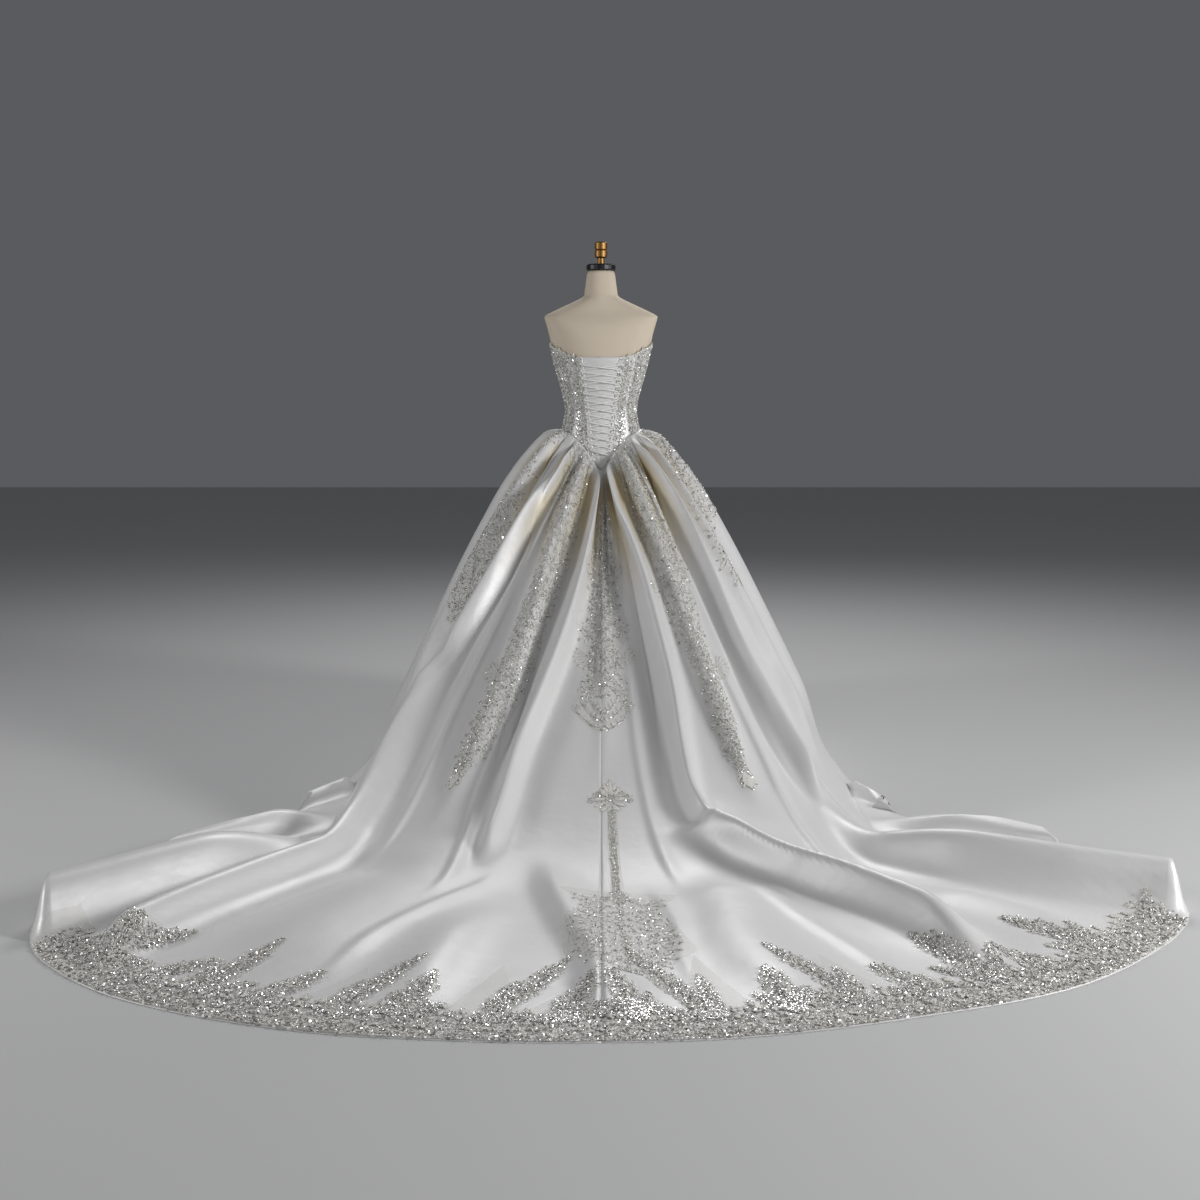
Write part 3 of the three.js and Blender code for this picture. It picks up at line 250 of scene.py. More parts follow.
def body_point(angle, z, inset=0):
    """A point at an angle and height, inset from the bodice's outer face, in millimetres."""
    a = np.radians(angle)
    power = 2 / body_section(z, 4)
    depth = np.where(np.cos(a) > 0, body_section(z, 2), body_section(z, 3)) - inset
    x = np.sign(np.sin(a)) * np.abs(np.sin(a)) ** power * (body_section(z, 1) - inset)
    y = -np.sign(np.cos(a)) * np.abs(np.cos(a)) ** power * depth
    return np.stack(np.broadcast_arrays(x, y, z), -1)


def plan_table():
    """The plan's rows all the way round, from the centre front, left side first."""
    rows = []
    for angle, waist, knee, left, _, train in reversed(PLAN[1:]):
        rows.append((-angle, waist, -knee[0], knee[1], -left[0], left[1], train))
    for angle, waist, knee, _, right, train in PLAN:
        rows.append((angle, waist, knee[0], knee[1], right[0], right[1], train))
    return np.array(rows, float)


ROUND_PLAN = plan_table()


def unwound(angle):
    return np.where(angle > TURN / 2, angle - TURN, angle)


def plan_at(angle, column):
    xs, ys = ROUND_PLAN[:, 0], ROUND_PLAN[:, column]
    slope = (ys[1] - ys[-2]) / (xs[1] - xs[0] + xs[-1] - xs[-2])
    return curve_through(xs, ys, unwound(angle), slope, slope)


def waist_height(angle):
    return plan_at(angle, 1)


def plain_point(angle, reach):
    """The skirt without its folds, from the waist out and down to the floor and along it to the hem."""
    angle, reach = np.broadcast_arrays(np.asarray(angle, float), np.asarray(reach, float))
    waist_z = waist_height(angle)
    waist = body_point(angle, waist_z, -SEAM_GAP)
    train = np.clip(plan_at(angle, 6), 0, 1)
    past = reach - 1
    rounding = np.maximum(KNEE * train, 1e-9)
    on_floor = np.where(np.abs(past) < rounding, (past + rounding) ** 2 / (4 * rounding), np.maximum(past, 0))
    out = reach - on_floor
    knee_x, knee_y = plan_at(angle, 2), plan_at(angle, 3)
    x = waist[..., 0] + (knee_x - waist[..., 0]) * out + (plan_at(angle, 4) - knee_x) * on_floor
    y = waist[..., 1] + (knee_y - waist[..., 1]) * out + (plan_at(angle, 5) - knee_y) * on_floor
    along = np.minimum(reach / (1 + LANDING * train), 1)
    hang = HANG_BALL + (HANG_TRAIN - HANG_BALL) * train
    sweep = SWEEP_BALL + (SWEEP_TRAIN - SWEEP_BALL) * train
    drop = np.maximum(1 - along**hang, 0) ** sweep
    low, high, lay, flat = LOFT_SPREAD
    loft = LOFT * train * smooth_step(low, high, reach) * (1 - smooth_step(lay, flat, reach))
    return np.stack([x, y, waist_z * drop + loft + SKIRT_CLOTH], -1)


def fold_height(angle, reach, per_degree, folds):
    """How far the folds stand out at a place, where one degree spans per_degree millimetres."""
    narrowing = WAIST_WIDTH + (1 - WAIST_WIDTH) * smooth_step(0, WAIST_WIDTH_REACH, reach)
    lowering = WAIST_HEIGHT + (1 - WAIST_HEIGHT) * smooth_step(0, WAIST_HEIGHT_REACH, reach)
    height = np.zeros_like(reach)
    for tall, left, right, rise, fall, flat, path in folds:
        reaches = [p[0] for p in path]
        start, end = reaches[0], reaches[-1]
        strength = smooth_step(start, start + rise, reach) * (1 - smooth_step(end - fall, end, reach))
        crest = curve_through(reaches, [p[1] for p in path], reach)
        away = (unwound(angle) - crest + TURN / 2) % TURN - TURN / 2
        half = np.where(away < 0, left, right) * narrowing
        height += tall * strength * lowering * np.exp(-np.abs(away * per_degree / half) ** flat)
    return height


def gown_point(angle, reach):
    """The skirt's outer face in millimetres, with its folds standing out, and how far they do."""
    turn, step = 0.25, 0.004
    angle, reach = np.broadcast_arrays(np.asarray(angle, float), np.asarray(reach, float))
    point = plain_point(angle, reach)
    across = plain_point(angle + turn, reach) - plain_point(angle - turn, reach)
    per_degree = np.linalg.norm(across, axis=-1) / (2 * turn)
    down = plain_point(angle, np.minimum(reach + step, 2)) - plain_point(angle, np.maximum(reach - step, 0))
    normal = np.cross(down, across)
    normal /= np.maximum(np.linalg.norm(normal, axis=-1, keepdims=True), 1e-9)
    turned_in = (normal[..., 2:] < 0) & (reach[..., None] > LEVEL_REACH[0])
    normal = np.where(turned_in, -normal, normal)
    level = smooth_step(*LEVEL_REACH, reach) * (1 - smooth_step(*LEVEL_TRAIN, plan_at(angle, 6)))
    waist = body_point(angle, waist_height(angle), -SEAM_GAP)
    outward = np.stack([plan_at(angle, 4) - waist[..., 0], plan_at(angle, 5) - waist[..., 1]], -1)
    outward /= np.linalg.norm(outward, axis=-1, keepdims=True)
    outward = np.concatenate([outward, np.zeros_like(outward[..., :1])], -1)
    direction = normal * (1 - level[..., None]) + outward * level[..., None]
    direction /= np.linalg.norm(direction, axis=-1, keepdims=True)
    height = fold_height(angle, reach, per_degree, FOLDS + FRONT_PLEATS + CREASES + GROOVES)
    for seam in SKIRT_SEAMS:
        away = (unwound(angle) - seam + TURN / 2) % TURN - TURN / 2
        dip = SEAM_DIP * np.exp(-((away * per_degree / SEAM_DIP_WIDTH) ** 2))
        height -= np.where(height > dip, dip, 0)
    return point + direction * height[..., None], height


class ClothMap:
    """Points and outward directions of a cloth over a grid of columns and rows, in millimetres."""

    def __init__(self, columns, rows, points):
        self.columns, self.rows, self.points = np.array(columns), np.array(rows), points
        normals = np.cross(np.gradient(points, axis=0), np.gradient(points, axis=1))
        self.normals = normals / np.maximum(np.linalg.norm(normals, axis=-1, keepdims=True), 1e-12)

    def read(self, column, row):
        """The points and directions at columns and rows that may lie between the grid's lines."""
        c = np.interp(column, self.columns, np.arange(len(self.columns)))
        r = np.interp(row, self.rows, np.arange(len(self.rows)))
        c0 = np.minimum(c.astype(int), len(self.columns) - 2)
        r0 = np.minimum(r.astype(int), len(self.rows) - 2)
        fc, fr = (c - c0)[..., None], (r - r0)[..., None]

        def blend(grid):
            top = grid[r0, c0] * (1 - fc) + grid[r0, c0 + 1] * fc
            low = grid[r0 + 1, c0] * (1 - fc) + grid[r0 + 1, c0 + 1] * fc
            return top * (1 - fr) + low * fr

        normal = blend(self.normals)
        return blend(self.points), normal / np.linalg.norm(normal, axis=-1, keepdims=True)


def seam_columns(stretches):
    """Columns for stretches of (from, to, steps), and the first and last index of each stretch."""
    columns, spans = [], []
    for start, end, steps in stretches:
        marked = np.linspace(start, end, steps + 1)
        marked[0] += SEAM_MARK
        marked[-1] -= SEAM_MARK
        spans.append((len(columns), len(columns) + steps))
        columns.extend(marked)
    return np.array(columns), spans


# How finely the skirt is cut into columns and rows, which crowd a little towards the waist.
SKIRT_STEPS = {"back": 140, "side": 60, "front": 80}
SKIRT_ROWS_UP, SKIRT_ROWS_FLOOR = 84, 64
ROW_CROWDING = 1.15


def skirt_rows():
    down = np.linspace(0, 1, SKIRT_ROWS_UP + 1) ** ROW_CROWDING
    floor = np.linspace(1, 2, SKIRT_ROWS_FLOOR + 1)[1:]
    return np.concatenate([down, floor])


# The satin's painted shade, darker and warmer deep in the pleats: how far below the crests within DEEP_SPREAD
# degrees it is full, the share of that depth at which it starts, and the reaches over which it fades.
DEEP_FOLD, DEEP_FROM, DEEP_REACH, DEEP_SPREAD = 28, 0.45, (0.1, 0.38), 6.0
DEEP_STEP = 0.5  # degrees between the places where the depth is taken


def fold_shade_mask(columns, rows, height):
    """How deep in a fold each place of the upper skirt lies, the mask of the painted shade: 0 on the crests,
    1 at the bottom.
    """
    even = np.arange(columns[0], columns[-1], DEEP_STEP)
    steps = int(DEEP_SPREAD / DEEP_STEP)
    deep = np.zeros_like(height)
    for row in range(len(rows)):
        line = np.interp(even, columns, height[row])
        padded = np.pad(line, steps, mode="edge")
        crest = np.max([padded[k : k + len(line)] for k in range(2 * steps + 1)], axis=0)
        sunk = np.clip((crest - line) / DEEP_FOLD - DEEP_FROM, 0, 1)
        deep[row] = np.interp(columns, even, sunk)
    return deep * (1 - smooth_step(*DEEP_REACH, rows))[:, None]


def close_seams(points, spans):
    """Draws the edges of neighbouring panels together until only a seam's gap is between them."""
    for (_, last), (first, _) in zip(spans, [*spans[1:], spans[0]], strict=True):
        middle = (points[:, last] + points[:, first]) / 2
        for edge in (last, first):
            away = points[:, edge] - middle
            long = np.maximum(np.linalg.norm(away, axis=-1, keepdims=True), 1e-6)
            points[:, edge] = middle + away * np.minimum(SEAM_CLOSED / long, 1)


def make_skirt_map():
    left_front, left, middle, right, right_front = SKIRT_SEAMS
    columns, spans = seam_columns([
        (left_front, left, SKIRT_STEPS["side"]),
        (left, middle, SKIRT_STEPS["back"]),
        (middle, right, SKIRT_STEPS["back"]),
        (right, right_front, SKIRT_STEPS["side"]),
        (right_front, left_front + TURN, SKIRT_STEPS["front"]),
    ])
    rows = skirt_rows()
    points, height = gown_point(columns[None, :], rows[:, None])
    close_seams(points, spans)
    cloth = ClothMap(columns, rows, points)
    cloth.deep = fold_shade_mask(columns, rows, height)
    return cloth, spans


def neckline_height(angle):
    a = np.abs(unwound(angle))
    behind = NECK_BACK + (NECK_SIDE - NECK_BACK) * smooth_step(*NECK_TO_SIDE, a)
    rise = (NECK_BUST - NECK_SIDE) * smooth_step(*NECK_TO_BUST, a)
    before = NECK_SIDE + rise - (NECK_BUST - NECK_FRONT) * smooth_step(*NECK_TO_FRONT, a)
    return np.where(a <= SIDE_ANGLE, behind, before)


def opening_half(z):
    return curve_through(OPENING_HEIGHTS, OPENING_HALVES, z)


def bodice_point(column, share):
    """A point of the bodice, whose columns near the centre back are drawn in to the lacing's opening."""
    column, share = np.broadcast_arrays(np.asarray(column, float), np.asarray(share, float))
    signed = unwound(column)
    angle = signed.copy()
    a = np.abs(signed)
    for _ in range(6):
        low = waist_height(angle)
        z = low + (neckline_height(angle) - low) * share
        edge = np.degrees(np.arcsin(opening_half(z) / body_section(z, 1)))
        inner = a / OPENING_ANGLE * edge
        outer = edge + (a - OPENING_ANGLE) / (BACK_ANGLE - OPENING_ANGLE) * (BACK_ANGLE - edge)
        drawn = np.sign(signed) * np.where(a <= OPENING_ANGLE, inner, outer)
        angle = np.where(a < BACK_ANGLE, drawn, signed)
    low = waist_height(angle)
    return body_point(angle, low + (neckline_height(angle) - low) * share)


# The bodice's panels: node, first and last column, and steps between them.
BODICE_PANELS = [
    ("bodice_side_front_left", -FRONT_ANGLE, -SIDE_ANGLE, 26),
    ("bodice_side_back_left", -SIDE_ANGLE, -BACK_ANGLE, 20),
    ("bodice_back_left", -BACK_ANGLE, -OPENING_ANGLE, 14),
    ("bodice_lacing_panel", -OPENING_ANGLE, OPENING_ANGLE, 30),
    ("bodice_back_right", OPENING_ANGLE, BACK_ANGLE, 14),
    ("bodice_side_back_right", BACK_ANGLE, SIDE_ANGLE, 20),
    ("bodice_side_front_right", SIDE_ANGLE, FRONT_ANGLE, 26),
    ("bodice_front", FRONT_ANGLE, TURN - FRONT_ANGLE, 26),
]
LACING_PANEL = 3  # the place in that list of the panel under the lacing
BODICE_ROWS = 44
PANEL_SINK = 1  # how far the panel under the lacing lies behind the bodice's face
WRINKLE, WRINKLES = 0.7, 70  # how high its light wrinkles stand, and how closely they follow each other
BODICE_SEAM_DIP, BODICE_SEAM_WIDTH = 0.8, 1.2  # how deep and how many degrees wide a seam is


def make_bodice_map():
    """The bodice's map, whose rows run from 0 at the neckline to 1 at the waist."""
    columns, spans = seam_columns([panel[1:] for panel in BODICE_PANELS])
    rows = np.linspace(0, 1, BODICE_ROWS + 1)
    points = bodice_point(columns[None, :], 1 - rows[:, None])
    flat = ClothMap(columns, rows, points)
    first, last = spans[LACING_PANEL]
    inner = slice(first, last + 1)
    wave = np.sin(rows[:, None] * WRINKLES + np.sin(columns[None, inner] * 0.3) * 1.2)
    fade = 1 - (columns[None, inner] / OPENING_ANGLE) ** 2
    move = -PANEL_SINK + WRINKLE * wave * fade - WRINKLE
    points[:, inner] += flat.normals[:, inner] * move[..., None]
    for angle in (-BACK_ANGLE, BACK_ANGLE, -SIDE_ANGLE, SIDE_ANGLE):
        away = columns[None, :, None] - angle
        points -= flat.normals * BODICE_SEAM_DIP * np.exp(-((away / BODICE_SEAM_WIDTH) ** 2))
    return ClothMap(columns, rows, points), spans


EDGE_RISE = 0.12  # how far above the neckline the lace's map runs, as a share of the bodice's height
EDGE_SIDE = FRONT_ANGLE + 45  # how far round the map runs on each side, past the centre front
EDGE_STEPS, EDGE_ROWS = 270, 60


def make_edge_map():
    """The bodice's face without seams, run on above the neckline, for the lace that stands up from it."""
    columns = np.linspace(-EDGE_SIDE, EDGE_SIDE, EDGE_STEPS)
    rows = np.linspace(-EDGE_RISE, 1, EDGE_ROWS)
    return ClothMap(columns, rows, bodice_point(columns[None, :], 1 - rows[:, None]))


EDGE_MAP = make_edge_map()
SKIRT_MAP, SKIRT_SPANS = make_skirt_map()
BODICE_MAP, BODICE_SPANS = make_bodice_map()


FULLEST_CUT = 0.98  # the greatest share of its width and length that a cut piece fills
FORM_STEPS, FORM_ROWS = 72, 110
NET_LIFT = 0.8  # how far above the satin a net lies, in millimetres
NET_STEPS, NET_ROWS = 24, 60


def gown_settings():
    return bpy.context.scene.gown


def add_piece(name, mesh, materials, replaces=(), smooth=True):
    """Puts a finished mesh in the scene as one of the object's pieces."""
    piece = bpy.data.objects.new(name, mesh)
    bpy.context.scene.collection.objects.link(piece)
    for material in materials:
        mesh.materials.append(material)
    mesh.polygons.foreach_set("use_smooth", np.full(len(mesh.polygons), smooth))
    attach(piece, "root")
    if replaces:
        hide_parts(*replaces)
    return piece


def add_thickness(piece, thickness):
    """Gives a cloth its wall, inwards from its outer face."""
    wall = piece.modifiers.new("cloth", "SOLIDIFY")
    wall.thickness = thickness
    wall.offset = -1
    wall.use_even_offset = False


def grid_of(columns, rows):
    """A flat grid mesh, and each of its points' column and row."""
    shape = bmesh.new()
    shape.loops.layers.uv.new("UVMap")
    bmesh.ops.create_grid(shape, x_segments=columns, y_segments=rows, size=1, calc_uvs=True)
    mesh = bpy.data.meshes.new("cloth")
    shape.to_mesh(mesh)
    shape.free()
    flat = np.empty(len(mesh.vertices) * 3)
    mesh.vertices.foreach_get("co", flat)
    flat = flat.reshape(-1, 3)
    column = np.rint((flat[:, 0] + 1) / 2 * columns).astype(int)
    row = np.rint((1 - flat[:, 1]) / 2 * rows).astype(int)
    return mesh, column, row


def shape_grid(mesh, points):
    mesh.vertices.foreach_set("co", (points * MM).ravel())
    mesh.update()


def satin_piece(name, cloth, span, row_ids, thickness, node):
    """One panel of satin over some of a map's columns and rows, and the size of its cloth."""
    first, last = span
    mesh, column, row = grid_of(last - first, len(row_ids) - 1)
    place = np.array(row_ids)[row], first + column
    shape_grid(mesh, cloth.points[place])
    # The fold depth goes on the mesh as the mask of the satin's painted shade, darker and warmer deep in the
    # pleats.
    if hasattr(cloth, "deep"):
        deep = mesh.attributes.new("fold_shade_paint", "FLOAT", "POINT")
        deep.data.foreach_set("value", cloth.deep[place])
    piece = add_piece(name, mesh, [satin()], [node])
    add_thickness(piece, thickness)
    return piece, sheet_size(mesh, column, row)


def sheet_size(mesh, column, row, along_edge=False):
    """The greatest width and length of a grid of cloth, in metres, or its width along its lower edge."""
    points = np.empty(len(mesh.vertices) * 3)
    mesh.vertices.foreach_get("co", points)
    grid = np.empty((row.max() + 1, column.max() + 1, 3))
    grid[row, column] = points.reshape(-1, 3)
    widths = np.linalg.norm(np.diff(grid, axis=1), axis=-1).sum(1)
    width = widths[-1] if along_edge else widths.max()
    length = np.linalg.norm(np.diff(grid, axis=0), axis=-1).sum(0).max()
    return float(width), float(length)


def cut_piece(piece, cloth_size):
    """Works out a piece's area, at most FULLEST_CUT of its width times its length, and does nothing more with
    it.
    """
    width, length = cloth_size
    area = sum(face.area for face in piece.data.polygons)
    area = min(area, FULLEST_CUT * width * length)


def joined_mesh(name, points, corners_of_faces, faces_corners):
    """One mesh from many copies of a small shape, given as flat arrays."""
    mesh = bpy.data.meshes.new(name)
    mesh.vertices.add(len(points))
    mesh.vertices.foreach_set("co", (points * MM).ravel())
    mesh.loops.add(len(faces_corners))
    mesh.loops.foreach_set("vertex_index", faces_corners)
    mesh.polygons.add(len(corners_of_faces))
    starts = np.concatenate([[0], np.cumsum(corners_of_faces)[:-1]])
    mesh.polygons.foreach_set("loop_start", starts)
    mesh.update()
    mesh.validate()
    return mesh


class SmallShape:
    """A bead, stone, leaf or disc of unit size, whose many copies are joined in one mesh."""

    def __init__(self, shape):
        self.points = np.array([v.co[:] for v in shape.verts])
        self.counts = np.array([len(f.verts) for f in shape.faces])
        self.corners = np.concatenate([[v.index for v in f.verts] for f in shape.faces])
        shape.free()


def numbered(shape):
    bmesh.ops.recalc_face_normals(shape, faces=shape.faces[:])
    shape.verts.index_update()
    return shape


def bead_shape():
    shape = bmesh.new()
    bmesh.ops.create_uvsphere(shape, u_segments=4, v_segments=2, radius=0.5)
    return SmallShape(numbered(shape))


def stone_shape():
    shape = bmesh.new()
    bmesh.ops.create_cone(shape, cap_ends=True, segments=6, radius1=0.5, radius2=0.28, depth=0.4)
    return SmallShape(numbered(shape))


def sequin_shape():
    shape = bmesh.new()
    bmesh.ops.create_circle(shape, cap_ends=True, segments=6, radius=0.5)
    return SmallShape(numbered(shape))


def leaf_shape():
    """A pointed leaf along X, domed in the middle."""
    shape = bmesh.new()
    bmesh.ops.create_circle(shape, cap_ends=True, segments=8, radius=0.5)
    bmesh.ops.poke(shape, faces=shape.faces[:])
    for v in shape.verts:
        v.co.y *= 0.75 + 0.25 * math.cos(2 * math.pi * v.co.x)
        if v.co.length < 0.1:
            v.co.z = 0.5
    return SmallShape(numbered(shape))


class Scatter:
    """Many small shapes set on a cloth: their places, directions and sizes, kept until they are joined."""

    def __init__(self):
        self.parts = []

    def add(self, shape, finish, place, along, outward, size):
        """size is (length, width, height) in millimetres for each place."""
        if len(place):
            self.parts.append((shape, finish, place, along, outward, size))

    def build(self, name, materials):
        points, counts, corners, finishes = [], [], [], []
        first = 0
        for shape, finish, place, along, outward, size in self.parts:
            side = np.cross(outward, along)
            side /= np.maximum(np.linalg.norm(side, axis=-1, keepdims=True), 1e-9)
            along = np.cross(side, outward)
            made = place[:, None, :]
            for axis, direction in enumerate((along, side, outward)):
                reach = shape.points[None, :, axis] * size[:, axis, None]
                made = made + reach[..., None] * direction[:, None, :]
            copies = len(place)
            offsets = first + np.arange(copies) * len(shape.points)
            points.append(made.reshape(-1, 3))
            counts.append(np.tile(shape.counts, copies))
            corners.append((shape.corners[None, :] + offsets[:, None]).ravel())
            chosen = np.broadcast_to(np.asarray(finish), (copies,))
            finishes.append(np.repeat(chosen, len(shape.counts)))
            first += copies * len(shape.points)
        mesh = joined_mesh(name, np.concatenate(points), np.concatenate(counts), np.concatenate(corners))
        piece = add_piece(name, mesh, materials, smooth=False)
        mesh.polygons.foreach_set("material_index", np.concatenate(finishes).astype(np.int32))
        return piece


# The drawing of the lace: strokes are lists of points in millimetres, x across and y along the growth.

def circle_line(x, y, radius, start=0, turns=1, steps=14, end_radius=None):
    """A ring, arc or spiral about a point. start is in turns."""
    t = np.linspace(0, 1, steps)
    r = radius + ((radius if end_radius is None else end_radius) - radius) * t
    a = 2 * math.pi * (start + turns * t)
    return np.stack([x + r * np.cos(a), y + r * np.sin(a)], -1)


def leaf_line(x, y, length, width, direction):
    """The outline of a leaf that starts at a point. direction is in turns from the x axis."""
    t = np.linspace(0, 1, 7)
    half = width / 2 * np.sin(math.pi * t) ** 0.8
    along = np.concatenate([t, t[::-1]]) * length
    across = np.concatenate([half, -half[::-1]])
    c, s = math.cos(2 * math.pi * direction), math.sin(2 * math.pi * direction)
    return np.stack([x + along * c - across * s, y + along * s + across * c], -1)


def flower_line(x, y, radius, petals, turn=0.0):
    t = np.linspace(0, 1, petals * 6 + 1)
    r = radius * (0.68 + 0.32 * np.abs(np.sin(math.pi * petals * (t + turn))))
    a = 2 * math.pi * t
    return np.stack([x + r * np.cos(a), y + r * np.sin(a)], -1)


class Drawing:
    """Lace drawn flat before it is laid on the cloth."""

    def __init__(self):
        self.lines, self.leaves, self.stones, self.seeds = [], [], [], []

    def line(self, points, bead=1.0):
        self.lines.append((points, bead))

    def leaf(self, x, y, length, width, direction, outlined=True):
        self.leaves.append((x, y, length, width, direction))
        if outlined:
            self.line(leaf_line(x, y, length, width, direction), 0.8)

    def stone(self, x, y, size):
        self.stones.append((x, y, size))

    def flower(self, x, y, radius, petals=5, turn=0.0):
        self.line(flower_line(x, y, radius, petals, turn))
        self.line(circle_line(x, y, radius * 0.32, steps=8), 0.8)
        for k in range(petals):
            d = (k + 0.5 - turn * petals) / petals
            a = 2 * math.pi * d
            px, py = x + radius * 0.34 * math.cos(a), y + radius * 0.34 * math.sin(a)
            self.leaves.append((px, py, radius * 0.55, radius * 0.42, d))
        self.stone(x, y, min(radius * 0.4, 5.5))

    def scroll(self, x, y, radius, side, turns=1.35, start=0.5):
        """A spiral scroll whose foot is next to the stem, with a leaf at its back."""
        begin = start if side > 0 else 0.5 - start
        self.line(circle_line(x, y, radius, begin, -side * turns, int(12 + radius * 0.6), radius * 0.22), 1.1)
        self.stone(x, y, min(3 + radius * 0.1, 4.5))

    def fan(self, x, y, radius, ribs, spread, direction=0.25):
        """Ribs that spread from a point, each with a bud at its end."""
        for k in range(ribs):
            d = direction + spread * (k / (ribs - 1) - 0.5)
            a = 2 * math.pi * d
            long = radius * (1 - 0.22 * abs(k / (ribs - 1) - 0.5) * 2)
            t = np.linspace(0.16, 0.74, 5) * long
            self.line(np.stack([x + t * math.cos(a), y + t * math.sin(a)], -1), 0.8)
            tip = 0.74 * long
            self.leaf(x + tip * math.cos(a), y + tip * math.sin(a), long * 0.26, long * 0.13, d)
        self.flower(x, y, radius * 0.17)


def garland(drawing, length, half_width, seed=1, first=0.0):
    """A stem along y with flowers, paired scrolls and leaves that fill half_width(y) on both sides."""
    rng = np.random.default_rng(seed)
    y = first
    count = 0
    while y < length:
        w = max(float(half_width(y)), 6.0)
        step = min(max(w * 0.95, 17.0), 44.0)
        grown = min(w, 42.0)
        drawing.flower(0, y, grown * (0.27 if count % 2 else 0.2), 5 + count % 2, 0.1 * rng.random())
        drawing.leaf(0, y + grown * 0.3, step * 0.42, grown * 0.17, 0.25)
        for side in (-1, 1):
            big, small = grown * 0.3, grown * 0.16
            x, at = side * w * 0.48, y + step * 0.42
            drawing.scroll(x, at, big, side, 1.5, 0.55)
            drawing.scroll(side * w * 0.2, y + step * 0.86, small, -side, 1.3, 0.6)
            for k in (-1, 0, 1):
                d = (0.0 if side > 0 else 0.5) + side * (0.07 + 0.13 * k)
                fx = x + side * big * 0.95 * math.cos(2 * math.pi * 0.13 * k)
                fy = at + big * 1.05 * math.sin(2 * math.pi * (0.07 + 0.13 * k))
                drawing.leaf(fx, fy, w * 0.24, grown * 0.1, d, False)
            drawing.scroll(side * w * 0.84, y + step * 0.93, small * 0.9, side, 1.4, 0.4)
            drawing.leaf(side * w * 0.3, y + step * 0.1, grown * 0.3, grown * 0.12, 0.25 - side * 0.17, False)
            drawing.stone(side * w * 0.62, y + step * 0.02, 4)
        y += step
        count += 1
    run = np.arange(first, length, 4.0)
    drawing.line(np.stack([2.5 * np.sin(run / 9), run], -1), 1.1)
    drawing.flower(0, length, 8, 6)


# The beads of a line, in millimetres, and how far they tilt and differ in size.
BEAD = {"long": 4.4, "wide": 2.9, "high": 2.0, "step": 4.5}
BEAD_TILT, BEAD_SIZES = 0.25, (0.85, 1.15)
# The sequins strewn between the lines: their widths, how thick they are as a share, and their tilt.
SEQUIN_SIZES, SEQUIN_THICK, SEQUIN_TILT = (3.4, 5.2), 0.3, 0.35
LEAF_HIGH = 3.2
# How far above the cloth's lift the stones and the sequins are set.
STONE_RISE, SEQUIN_RISE = 1.2, 1.4
# The order of the materials on a lace piece, and how often each is on a line of beads or among sequins.
SILVER, PALE, CRYSTAL, THREAD, SMOKE = range(5)
BEAD_MIX = [SILVER, SILVER, SILVER, PALE, PALE, PALE, CRYSTAL, SMOKE]
SEED_MIX = [SILVER, SILVER, SILVER, SILVER, PALE, PALE, PALE, CRYSTAL, SMOKE, SMOKE]


